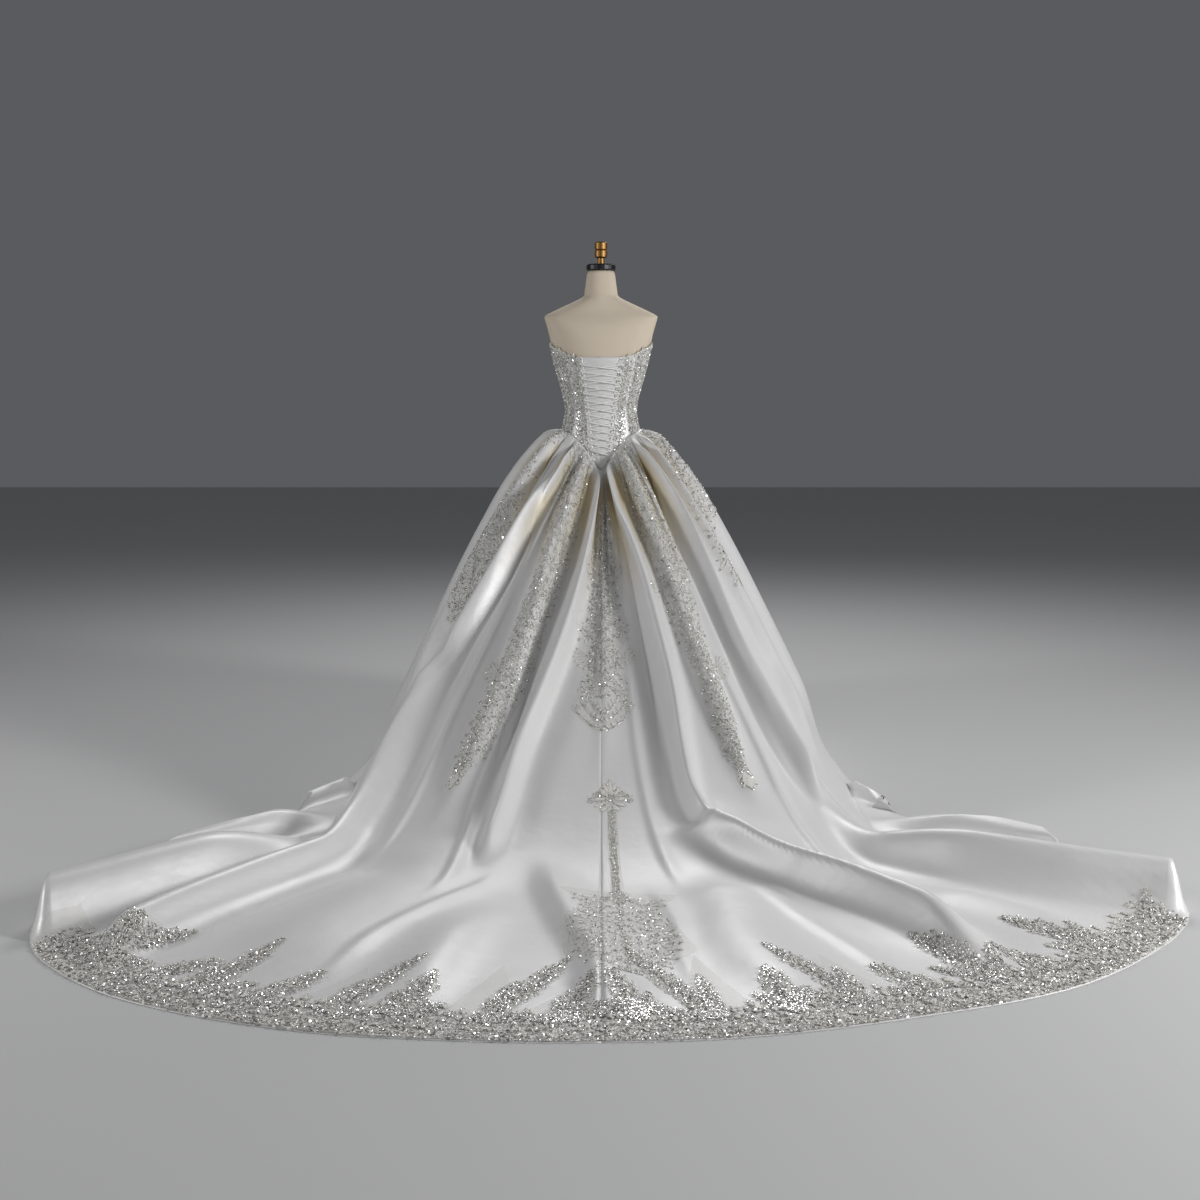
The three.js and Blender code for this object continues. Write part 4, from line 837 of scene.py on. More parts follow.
def lay_lace(scatter, drawing, cloth, to_cloth, seed=1, lift=1.0, scale=1.0):
    """Sets a drawing's beads, leaves and stones on a cloth, through a function that places its points."""
    rng = np.random.default_rng(seed)
    places, alongs, sizes = [], [], []
    for points, bead in drawing.lines:
        column, row = to_cloth(points)
        at, _ = cloth.read(column, row)
        lengths = np.linalg.norm(np.diff(at, axis=0), axis=1)
        reach = np.concatenate([[0], np.cumsum(lengths)])
        if reach[-1] < 1:
            continue
        count = max(int(reach[-1] / (BEAD["step"] * bead * scale)), 2)
        where = (np.arange(count) + 0.5) / count * reach[-1]
        c, r = np.interp(where, reach, column), np.interp(where, reach, row)
        ends = np.stack([np.interp(where + s, reach, np.arange(len(reach))) for s in (-0.5, 0.5)], -1)
        path = [np.interp(ends, np.arange(len(reach)), at[:, k]) for k in range(3)]
        direction = np.stack([p[:, 1] - p[:, 0] for p in path], -1)
        places.append(np.stack([c, r], -1))
        alongs.append(direction)
        sizes.append(np.full(count, bead * scale))
    if places:
        spot = np.concatenate(places)
        along = np.concatenate(alongs)
        size = np.concatenate(sizes)
        at, outward = cloth.read(spot[:, 0], spot[:, 1])
        along /= np.maximum(np.linalg.norm(along, axis=1, keepdims=True), 1e-9)
        up = outward + rng.normal(0, BEAD_TILT, at.shape)
        up /= np.linalg.norm(up, axis=1, keepdims=True)
        vary = rng.uniform(*BEAD_SIZES, (len(at), 1))
        measures = size[:, None] * vary * np.array([BEAD["long"], BEAD["wide"], BEAD["high"]])
        finish = rng.choice(BEAD_MIX, len(at))
        place = at + outward * (lift + measures[:, 2:] * 0.3)
        scatter.add(BEAD_SHAPE, finish, place, along, up, measures)
    if drawing.leaves:
        leaves = np.array(drawing.leaves)
        angle = 2 * math.pi * leaves[:, 4]
        reach = np.stack([np.cos(angle), np.sin(angle)], -1) * leaves[:, 2:3]
        middle, tip = leaves[:, :2] + reach / 2, leaves[:, :2] + reach
        place, outward = cloth.read(*to_cloth(middle))
        end, _ = cloth.read(*to_cloth(tip))
        along = end - place
        long = np.linalg.norm(along, axis=1)
        keep = long > 0.5
        along = along / np.maximum(long[:, None], 1e-9)
        measures = np.stack([long * 2, leaves[:, 3] * scale, np.full(len(long), LEAF_HIGH)], -1)
        place = place + outward * lift
        scatter.add(LEAF_SHAPE, THREAD, place[keep], along[keep], outward[keep], measures[keep])
    if drawing.stones:
        stones = np.array(drawing.stones)
        place, outward = cloth.read(*to_cloth(stones[:, :2]))
        spin = rng.normal(0, 1, place.shape)
        along = np.cross(outward, spin)
        along /= np.linalg.norm(along, axis=1, keepdims=True)
        across = stones[:, 2] * scale
        measures = np.stack([across, across, across * 0.9], -1)
        scatter.add(STONE_SHAPE, CRYSTAL, place + outward * (lift + STONE_RISE), along, outward, measures)
    if drawing.seeds:
        seeds = np.array(drawing.seeds)
        place, outward = cloth.read(*to_cloth(seeds))
        spin = rng.normal(0, 1, place.shape)
        up = outward + rng.normal(0, SEQUIN_TILT, place.shape)
        up /= np.linalg.norm(up, axis=1, keepdims=True)
        along = np.cross(up, spin)
        along /= np.linalg.norm(along, axis=1, keepdims=True)
        across = rng.uniform(*SEQUIN_SIZES, len(place)) * scale
        measures = np.stack([across, across, across * SEQUIN_THICK], -1)
        finish = rng.choice(SEED_MIX, len(place))
        scatter.add(SEQUIN_SHAPE, finish, place + outward * (lift + SEQUIN_RISE), along, up, measures)


def sow(drawing, inside, box, spacing, seed):
    """Sequins strewn over a drawing where inside(points) is true, about a spacing apart."""
    rng = np.random.default_rng(seed)
    x0, y0, x1, y1 = box
    xs = np.arange(x0, x1, spacing)
    ys = np.arange(y0, y1, spacing)
    grid = np.stack(np.meshgrid(xs, ys), -1).reshape(-1, 2)
    grid = grid + rng.uniform(-0.45, 0.45, grid.shape) * spacing
    drawing.seeds.extend(grid[inside(grid)].tolist())


def within(half_width, share=1.0):
    """A test of whether points lie within a share of half_width(y) on either side of the stem."""
    return lambda points: np.abs(points[:, 0]) < half_width(points[:, 1]) * share


BEAD_SHAPE, STONE_SHAPE = bead_shape(), stone_shape()
SEQUIN_SHAPE, LEAF_SHAPE = sequin_shape(), leaf_shape()

# The lace bands on the skirt, as rows of (reach, left angle, right angle).
BANDS = {
    "back_left": [
        (0.012, -35, -8), (0.04, -35, -10), (0.1, -34, -11), (0.25, -31.5, -13.5), (0.33, -29, -15.5),
        (0.42, -31, -18), (0.52, -31, -20), (0.62, -34, -22), (0.72, -33.5, -25), (0.81, -31, -30),
    ],
    "back_right": [
        (0.012, 9, 38), (0.04, 13, 38), (0.1, 17, 39), (0.25, 19, 41), (0.33, 23, 42), (0.42, 23.5, 38),
        (0.52, 27, 35), (0.62, 27, 35), (0.72, 27.5, 32), (0.81, 30, 31),
    ],
    "centre_back": [
        (0.03, -4, 6), (0.1, -4, 7), (0.17, -4, 7), (0.25, -6.2, 7.8), (0.29, -8.5, 10), (0.33, -5.2, 6.8),
        (0.42, -8.6, 10.2), (0.47, -3.7, 5.3), (0.52, -5.7, 7.3), (0.58, -7.2, 8.8), (0.64, 0.3, 1.3),
    ],
    "side_left": [
        (0.012, -94, -46), (0.04, -94, -50), (0.1, -95, -56), (0.25, -92, -55), (0.33, -84, -55),
        (0.42, -74, -55), (0.52, -68, -57), (0.57, -63, -60),
    ],
    "side_right": [
        (0.012, 50, 94), (0.04, 54, 94), (0.1, 60, 95), (0.25, 60, 91), (0.33, 61, 83), (0.42, 62, 72),
        (0.48, 65, 67),
    ],
}
# Fans that spread from the bands' middles: angle, reach and how far each is turned, in radians.
FANS = {
    "back_left": [(-30, 0.54, 1.9), (-27, 0.36, -1.6)],
    "back_right": [(35, 0.54, -1.9), (28, 0.36, 1.6)],
    "centre_back": [(-3.2, 0.47, 2.5), (4.8, 0.47, -2.5)],
}
# The net under the train's motif: its outline as rows of (reach, left angle, right angle). On it lie the
# cross at the top, the chain below it and the medallion at the end.
TRAIN_CENTRE = [
    (0.765, 1.2, 2.4), (0.785, -1.8, 5.2), (0.81, -1.8, 5.2), (0.825, 1.1, 2.9), (1, 1.1, 2.9),
    (1.13, 1.2, 3), (1.17, -5, 9.5), (1.3, -1.5, 5.5), (1.38, -4, 7), (1.56, -3, 8), (1.66, 0.5, 4.5),
]
CROSS_PLACE = (1.7, 0.797)
CHAIN = [(0.83, 0.9, 3.1), (1.15, 0.9, 3.1)]
TRAIN_MEDALLION = [
    (1.13, 1.2, 3.2), (1.17, 0.2, 4), (1.21, -4.2, 8.4), (1.27, -2.6, 6.8), (1.38, -4, 7.6), (1.5, -3.4, 7.8),
    (1.62, -1.5, 5.8), (1.7, 1.2, 2.8),
]
# The sprays that rise from the hem's border, on every second column of the source's net: the reach of
# each tip from the centre back outwards.
HEM_COLUMNS = {"left": 54.5 / 22, "right": 54 / 22}
HEM_TIPS = {
    "left": [1.76, 1.62, 1.78, 1.68, 1.78, 1.7, 1.8, 1.72, 1.82],
    "right": [1.76, 1.58, 1.78, 1.64, 1.78, 1.68, 1.8, 1.7, 1.8],
}
HEM_DIP = 1.86  # where the net's edge lies between two tips
HEM_NET_EDGE = 1.999  # the reach at which the net ends, just inside the satin's edge
HEM_NET_STEPS, HEM_NET_ROWS = 6, 14  # how finely it is cut between two tips and down
HEM_LEFT, HEM_RIGHT = -43.5, 44.5  # where the border ends on either side of the train
HEM_DEPTH, HEM_REPEAT = 150.0, 44  # the border's depth and the width of one repeat of its motifs
SPRAY_FOOT = 1.9  # the reach at which the sprays start
SPRAYS_END = 41  # no spray stands on the rolls at the train's two sides
HEM_LIFT = 2.4  # how far above the satin the hem's beads lie, so that none goes into the floor
HEM_SCALE, BAND_SCALE = 1.5, 1.1  # how much larger the hem's and the bands' beads are than BEAD says
MEDALLION = 112  # the length of one medallion of a band
CENTRE_START = 150  # how far below the waist the centre band's beading starts, past the deep pleat
BAND_END, CHEVRON_END = 78, 130  # how much of a side band and of the centre band its end takes up


def band_end(drawing, length):
    """The drop at a side band's lower end: a pointed leaf in an outline, with a small curl."""
    for wide in (30, 17):
        drawing.leaf(0, length - 68, 66, wide, 0.25)
    for side in (-1, 1):
        for k in range(3):
            drawing.leaf(side * 7, length - 62 + 15 * k, 22, 8, 0.25 - side * 0.12)
    drawing.line(circle_line(5, length + 2, 7, 0.5, -1.1, 12, 3))
    drawing.stone(0, length - 40, 5)


def chevron_end(drawing, length):
    """The centre band's lower end: three rows of leaves that rise to curls on either side."""
    t = np.linspace(0, 1, 12)
    for side in (-1, 1):
        for low, wide in ((0, 80), (30, 62), (58, 42)):
            x, y = side * wide * t, length - low - 74 * t**1.4
            drawing.line(np.stack([x, y], -1), 1.1)
            drawing.line(np.stack([x, y - 6], -1), 0.9)
            for k in range(2, 10, 2):
                drawing.leaf(float(x[k]), float(y[k]), 17, 8, 0.25 - side * 0.1 + 0.5)
        drawing.scroll(side * 76, length - 88, 16, side, 1.6, 0.3)
        drawing.scroll(side * 54, length - 112, 13, side, 1.5, 0.3)
        drawing.stone(side * 30, length - 18, 4)
    drawing.leaf(0, length - 18, 24, 13, 0.25)
    drawing.stone(0, length - 12, 5.5)


class BandPlace:
    """Places a drawing on a band that runs down the skirt: y runs down it, x across it."""

    def __init__(self, rows):
        table = np.array(rows, float)
        self.reach = np.linspace(table[0, 0], table[-1, 0], 80)
        self.left = np.interp(self.reach, table[:, 0], table[:, 1])
        self.right = np.interp(self.reach, table[:, 0], table[:, 2])
        middle = (self.left + self.right) / 2
        plain = plain_point(middle, self.reach)
        step = plain_point(middle + 0.5, self.reach) - plain_point(middle - 0.5, self.reach)
        self.per_degree = np.linalg.norm(step, axis=1)
        run = np.linalg.norm(np.diff(plain, axis=0), axis=1)
        self.along = np.concatenate([[0], np.cumsum(run)])
        self.middle = middle
        self.length = float(self.along[-1])

    def half(self, y):
        width = (self.right - self.left) / 2 * self.per_degree
        return np.interp(y, self.along, width)

    def swell(self, y):
        """The half width as a row of medallions that narrow between one and the next."""
        half = self.half(y)
        last = np.clip((self.length - y) / 70, 0, 1) ** 0.6
        return half * (0.56 + 0.52 * np.abs(np.sin(math.pi * (self.length - y) / MEDALLION))) * last

    def __call__(self, points):
        y = points[:, 1]
        reach = np.interp(y, self.along, self.reach)
        middle = np.interp(y, self.along, self.middle)
        return middle + points[:, 0] / np.interp(y, self.along, self.per_degree), reach


class SpotPlace:
    """Places a drawing round one place of the skirt: y runs up towards the waist, x to the right."""

    def __init__(self, angle, reach, turn=0.0):
        self.angle, self.reach, self.turn = angle, reach, turn
        across = plain_point(angle + 0.5, reach) - plain_point(angle - 0.5, reach)
        down = plain_point(angle, min(reach + 0.01, 2)) - plain_point(angle, reach - 0.01)
        span = min(reach + 0.01, 2) - (reach - 0.01)
        self.per_degree = float(np.linalg.norm(across))
        self.per_reach = float(np.linalg.norm(down)) / span

    def __call__(self, points):
        c, s = math.cos(self.turn), math.sin(self.turn)
        x = points[:, 0] * c - points[:, 1] * s
        y = points[:, 0] * s + points[:, 1] * c
        reach = np.minimum(self.reach - y / self.per_reach, 1.999)
        return self.angle + x / self.per_degree, reach


class HemPlace:
    """Places a drawing along the hem: x runs from the centre back to the right, y in from the hem."""

    def __init__(self):
        self.angles = np.linspace(HEM_LEFT - 3, HEM_RIGHT + 3, 300)
        at = plain_point(self.angles, 2.0)
        run = np.concatenate([[0], np.cumsum(np.linalg.norm(np.diff(at, axis=0), axis=1))])
        self.run = run - np.interp(0, self.angles, run)
        inner = plain_point(self.angles, 1.9)
        self.per_reach = np.linalg.norm(at - inner, axis=1) / 0.1

    def __call__(self, points):
        angle = np.interp(points[:, 0], self.run, self.angles)
        reach = 2 - points[:, 1] / np.interp(points[:, 0], self.run, self.per_reach)
        return angle, np.clip(reach, 1, 1.9995)

    def x_of(self, angle):
        return float(np.interp(angle, self.angles, self.run))


class BodicePlace:
    """Places a drawing on the bodice about one column: y runs down from the neckline, x across."""

    def __init__(self, column):
        rows = EDGE_MAP.rows
        middle, _ = EDGE_MAP.read(np.full(len(rows), float(column)), rows)
        near, _ = EDGE_MAP.read(np.full(len(rows), column + 1.0), rows)
        run = np.concatenate([[0], np.cumsum(np.linalg.norm(np.diff(middle, axis=0), axis=1))])
        self.column, self.rows = column, rows
        self.run = run - np.interp(0, rows, run)
        self.per_column = np.linalg.norm(near - middle, axis=1)
        self.length = float(self.run[-1])

    def half(self, y, columns):
        return np.interp(y, self.run, self.per_column) * columns

    def __call__(self, points):
        row = np.interp(points[:, 1], self.run, self.rows)
        return self.column + points[:, 0] / np.interp(row, self.rows, self.per_column), row


def smooth_path(points, steps=12):
    """A smooth line through points, each stretch cut in equal steps."""
    points = np.asarray(points, float)
    knots = np.concatenate([[0], np.cumsum(np.sqrt(np.linalg.norm(np.diff(points, axis=0), axis=1)))])
    fine = np.interp(np.arange(steps * (len(points) - 1) + 1) / steps, np.arange(len(points)), knots)
    return np.stack([curve_through(knots, points[:, k], fine) for k in range(3)], -1)


def cords_mesh(name, paths, radius, sides=2):
    """One mesh of round cords along paths in millimetres."""
    curve = bpy.data.curves.new(name, "CURVE")
    curve.dimensions = "3D"
    curve.bevel_depth = radius
    curve.bevel_resolution = sides
    curve.use_fill_caps = True
    for path in paths:
        spline = curve.splines.new("POLY")
        spline.points.add(len(path) - 1)
        spline.points.foreach_set("co", np.c_[path * MM, np.ones(len(path))].ravel())
    holder = bpy.data.objects.new(name, curve)
    bpy.context.scene.collection.objects.link(holder)
    mesh = bpy.data.meshes.new_from_object(holder.evaluated_get(bpy.context.evaluated_depsgraph_get()))
    bpy.data.objects.remove(holder)
    bpy.data.curves.remove(curve)
    return mesh


SHADE_DEPTH = 0.03  # how much darker the cloth's soft unevenness makes it at most


def new_material(name, colour, roughness, metallic=0.0, specular=0.5):
    material = bpy.data.materials.new(name)
    material.use_nodes = True
    shader = material.node_tree.nodes["Principled BSDF"]
    shader.inputs["Base Color"].default_value = (*colour[:3], 1)
    shader.inputs["Roughness"].default_value = roughness
    shader.inputs["Metallic"].default_value = metallic
    shader.inputs["Specular IOR Level"].default_value = specular
    return material, shader


def cloth_effect():
    """One group for every cloth: soft unevenness and a fine weave, as a height and a shade."""
    name = "cloth_effect"
    if name in bpy.data.node_groups:
        return bpy.data.node_groups[name]
    group = bpy.data.node_groups.new(name, "ShaderNodeTree")
    face = group.interface
    face.new_socket(name="Vector", in_out="INPUT", socket_type="NodeSocketVector")
    for label in ("Wave Scale", "Weave Scale", "Weave Share", "Shade Depth"):
        face.new_socket(name=label, in_out="INPUT", socket_type="NodeSocketFloat")
    face.new_socket(name="Height", in_out="OUTPUT", socket_type="NodeSocketFloat")
    face.new_socket(name="Shade", in_out="OUTPUT", socket_type="NodeSocketFloat")
    nodes, links = group.nodes, group.links
    given, out = nodes.new("NodeGroupInput"), nodes.new("NodeGroupOutput")
    wave, weave = nodes.new("ShaderNodeTexNoise"), nodes.new("ShaderNodeTexNoise")
    wave.inputs["Detail"].default_value = 3
    weave.inputs["Detail"].default_value = 1
    for texture, scale in ((wave, "Wave Scale"), (weave, "Weave Scale")):
        links.new(given.outputs["Vector"], texture.inputs["Vector"])
        links.new(given.outputs[scale], texture.inputs["Scale"])
    share = nodes.new("ShaderNodeMath")
    share.operation = "MULTIPLY_ADD"
    links.new(weave.outputs["Fac"], share.inputs[0])
    links.new(given.outputs["Weave Share"], share.inputs[1])
    links.new(wave.outputs["Fac"], share.inputs[2])
    links.new(share.outputs[0], out.inputs["Height"])
    shade = nodes.new("ShaderNodeMath")
    shade.operation = "MULTIPLY_ADD"
    links.new(wave.outputs["Fac"], shade.inputs[0])
    links.new(given.outputs["Shade Depth"], shade.inputs[1])
    shade.inputs[2].default_value = 1 - SHADE_DEPTH
    links.new(shade.outputs[0], out.inputs["Shade"])
    return group


def add_cloth_effect(material, shader, colour, wave, weave, weave_share, bump):
    """Sends the cloth group's height to a bump and its shade to the base colour."""
    nodes, links = material.node_tree.nodes, material.node_tree.links
    place = nodes.new("ShaderNodeTexCoord")
    effect = nodes.new("ShaderNodeGroup")
    effect.node_tree = cloth_effect()
    effect.inputs["Wave Scale"].default_value = wave
    effect.inputs["Weave Scale"].default_value = weave
    effect.inputs["Weave Share"].default_value = weave_share
    effect.inputs["Shade Depth"].default_value = SHADE_DEPTH
    links.new(place.outputs["Object"], effect.inputs["Vector"])
    tint = nodes.new("ShaderNodeMix")
    tint.data_type = "RGBA"
    tint.blend_type = "MULTIPLY"
    tint.inputs["Factor"].default_value = 1
    tint.inputs["A"].default_value = (*colour[:3], 1)
    links.new(effect.outputs["Shade"], tint.inputs["B"])
    links.new(tint.outputs["Result"], shader.inputs["Base Color"])
    raised = nodes.new("ShaderNodeBump")
    raised.inputs["Distance"].default_value = bump
    raised.inputs["Strength"].default_value = 1
    links.new(effect.outputs["Height"], raised.inputs["Height"])
    links.new(raised.outputs["Normal"], shader.inputs["Normal"])
    return tint


def satin():
    """The gown's satin: a soft sheen, light unevenness, and a painted warm shade deep in the waist's pleats.
    """
    if "gown_satin" in bpy.data.materials:
        return bpy.data.materials["gown_satin"]
    colour = gown_settings().satin_colour
    material, shader = new_material("gown_satin", colour, roughness=0.46, metallic=0.17, specular=0.6)
    shader.inputs["Sheen Weight"].default_value = 0.1
    shader.inputs["Sheen Roughness"].default_value = 0.4
    tint = add_cloth_effect(material, shader, colour, wave=9, weave=700, weave_share=0.03, bump=0.003)
    nodes, links = material.node_tree.nodes, material.node_tree.links
    # Painted shade: the fold mask mixes the satin's colour towards a darker, warmer colour deep in the
    # pleats.
    deep = nodes.new("ShaderNodeAttribute")
    deep.attribute_name = "fold_shade_paint"
    warm = nodes.new("ShaderNodeMix")
    warm.data_type = "RGBA"
    warm.inputs["B"].default_value = (*gown_settings().painted_fold_shade_colour, 1)
    links.new(deep.outputs["Fac"], warm.inputs["Factor"])
    links.new(tint.outputs["Result"], warm.inputs["A"])
    links.new(warm.outputs["Result"], shader.inputs["Base Color"])
    return material


def lace_finishes():
    """The materials of a beaded piece: silver bead, pale bead, crystal, thread and smoky bead."""
    names = ("silver_bead", "pale_bead", "crystal", "thread", "smoke_bead")
    if names[0] not in bpy.data.materials:
        own = gown_settings()
        new_material(names[SILVER], own.bead_colour, roughness=0.3, metallic=0.1, specular=0.7)
        new_material(names[PALE], own.pearl_colour, roughness=0.25, specular=0.7)
        new_material(names[CRYSTAL], (0.95, 0.96, 0.97), roughness=0.26, metallic=0.9)
        new_material(names[THREAD], own.thread_colour, roughness=0.6)
        new_material(names[SMOKE], own.smoke_colour, roughness=0.3, metallic=0.1, specular=0.7)
    return [bpy.data.materials[name] for name in names]


def net_finish():
    """The sheer net under the beading: mostly clear, a little warm."""
    if "net" in bpy.data.materials:
        return bpy.data.materials["net"]
    material, shader = new_material("net", gown_settings().thread_colour, roughness=0.7)
    shader.inputs["Alpha"].default_value = 0.12
    return material


def plain_finish(name, colour, roughness, metallic=0.0):
    if name in bpy.data.materials:
        return bpy.data.materials[name]
    return new_material(name, colour, roughness, metallic)[0]


def linen():
    """The dress form's cover, a plain matt weave."""
    if "form_linen" in bpy.data.materials:
        return bpy.data.materials["form_linen"]
    colour = gown_settings().linen_colour
    material, shader = new_material("form_linen", colour, roughness=0.85, specular=0.3)
    add_cloth_effect(material, shader, colour, wave=25, weave=900, weave_share=0.6, bump=0.0006)
    return material


def net_panel(name, rows, node):
    """The sheer ground of a lace band, cut to the band's outline and laid on the skirt."""
    table = np.array(rows, float)
    mesh, column, row = grid_of(NET_STEPS, NET_ROWS)
    reach = np.interp(row / NET_ROWS, np.linspace(0, 1, len(table)), table[:, 0])
    left = np.interp(reach, table[:, 0], table[:, 1])
    right = np.interp(reach, table[:, 0], table[:, 2])
    at, outward = SKIRT_MAP.read(left + (right - left) * column / NET_STEPS, reach)
    shape_grid(mesh, at + outward * NET_LIFT)
    return add_piece(name, mesh, [net_finish()], [node]), sheet_size(mesh, column, row)


class GownSettings(bpy.types.PropertyGroup):
    satin_colour: bpy.props.FloatVectorProperty(
        name="Satin", description="Colour of the gown's satin", subtype="COLOR", size=3, min=0, max=1,
        default=(0.8, 0.795, 0.79))
    # The colour of the satin's painted shade deep in the waist's pleats.
    painted_fold_shade_colour: bpy.props.FloatVectorProperty(
        name="Deep folds", description="Colour of the satin deep in the waist's pleats", subtype="COLOR",
        size=3, min=0, max=1, default=(0.62, 0.53, 0.35))
    bead_colour: bpy.props.FloatVectorProperty(
        name="Beads", description="Colour of the silver beads", subtype="COLOR", size=3, min=0, max=1,
        default=(0.56, 0.548, 0.515))
    smoke_colour: bpy.props.FloatVectorProperty(
        name="Smoky beads", description="Colour of the darkest beads", subtype="COLOR", size=3, min=0, max=1,
        default=(0.25, 0.24, 0.213))
    pearl_colour: bpy.props.FloatVectorProperty(
        name="Pale beads", description="Colour of the pale beads", subtype="COLOR", size=3, min=0, max=1,
        default=(0.84, 0.82, 0.76))
    thread_colour: bpy.props.FloatVectorProperty(
        name="Thread", description="Colour of the lace's thread", subtype="COLOR", size=3, min=0, max=1,
        default=(0.76, 0.745, 0.7))
    linen_colour: bpy.props.FloatVectorProperty(
        name="Form", description="Colour of the dress form's cover", subtype="COLOR", size=3, min=0, max=1,
        default=(0.72, 0.635, 0.52))
    skirt_cloth: bpy.props.FloatProperty(
        name="Skirt cloth", description="Thickness of the skirt's satin", subtype="DISTANCE",
        unit="LENGTH", default=SKIRT_CLOTH * MM, min=0.0005, max=0.004)
    bodice_cloth: bpy.props.FloatProperty(
        name="Bodice cloth", description="Thickness of the boned bodice", subtype="DISTANCE",
        unit="LENGTH", default=BODICE_CLOTH * MM - 0.0004, min=0.0005, max=0.005)
    cord_radius: bpy.props.FloatProperty(
        name="Lacing cord", description="Radius of the lacing cords", subtype="DISTANCE",
        unit="LENGTH", default=0.0022, min=0.0005, max=0.003)


class GOWN_OT_form(bpy.types.Operator):
    """Builds the dress form's body, pole, base, neck cap and finial"""

    bl_idname = "gown.form"
    bl_label = "Dress Form"

    def execute(self, context):
        heights = np.linspace(BODY[0, 0], BODY[-1, 0], FORM_ROWS + 1)
        mesh, column, row = grid_of(FORM_STEPS, FORM_ROWS)
        inset = BODICE_CLOTH + FIT_GAP
        shape_grid(mesh, body_point(column / FORM_STEPS * TURN, heights[FORM_ROWS - row], inset))
        shape = bmesh.new()
        shape.from_mesh(mesh)
        bmesh.ops.remove_doubles(shape, verts=shape.verts[:], dist=1e-5)
        bmesh.ops.holes_fill(shape, edges=[e for e in shape.edges if e.is_boundary], sides=0)
        bmesh.ops.recalc_face_normals(shape, faces=shape.faces[:])
        shape.to_mesh(mesh)
        shape.free()
        add_piece("form_cover", mesh, [linen()], ["form_body"])
        brass = plain_finish("finial_brass", (0.34, 0.2, 0.075), roughness=0.42, metallic=0.9)
        dark = plain_finish("stand_metal", (0.05, 0.048, 0.05), roughness=0.35, metallic=0.9)
        cap = plain_finish("neck_plate", (0.06, 0.06, 0.065), roughness=0.35, metallic=0.7)
        for node, finish, slot in (
            ("form_base", dark, "dark_metal"), ("form_pole", dark, "dark_metal"),
            ("form_neck_cap", cap, "dark_metal"), ("form_finial", brass, "brass"),
        ):
            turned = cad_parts[node]
            turned.data.materials.clear()
            turned.data.materials.append(finish)
        return {"FINISHED"}


class GOWN_OT_skirt(bpy.types.Operator):
    """Builds the skirt's five panels, the two back ones with the train"""

    bl_idname = "gown.skirt"
    bl_label = "Skirt and Train"

    def execute(self, context):
        all_rows = list(range(len(SKIRT_MAP.rows)))
        front_rows = [*all_rows[: SKIRT_ROWS_UP + 1], all_rows[-1]]
        side, back = ((1.6, 1.5), 1.5), ((2.1, 2.8), 2.7)
        panels = [
            ("side_left", all_rows, *side), ("back_left", all_rows, *back), ("back_right", all_rows, *back),
            ("side_right", all_rows, *side), ("front", front_rows, (2.4, 1.4), 2.0),
        ]
        thickness = gown_settings().skirt_cloth
        for (name, rows, flat, area), span in zip(panels, SKIRT_SPANS, strict=True):
            piece, _ = satin_piece(f"satin_{name}", SKIRT_MAP, span, rows, thickness, f"skirt_{name}")
        return {"FINISHED"}


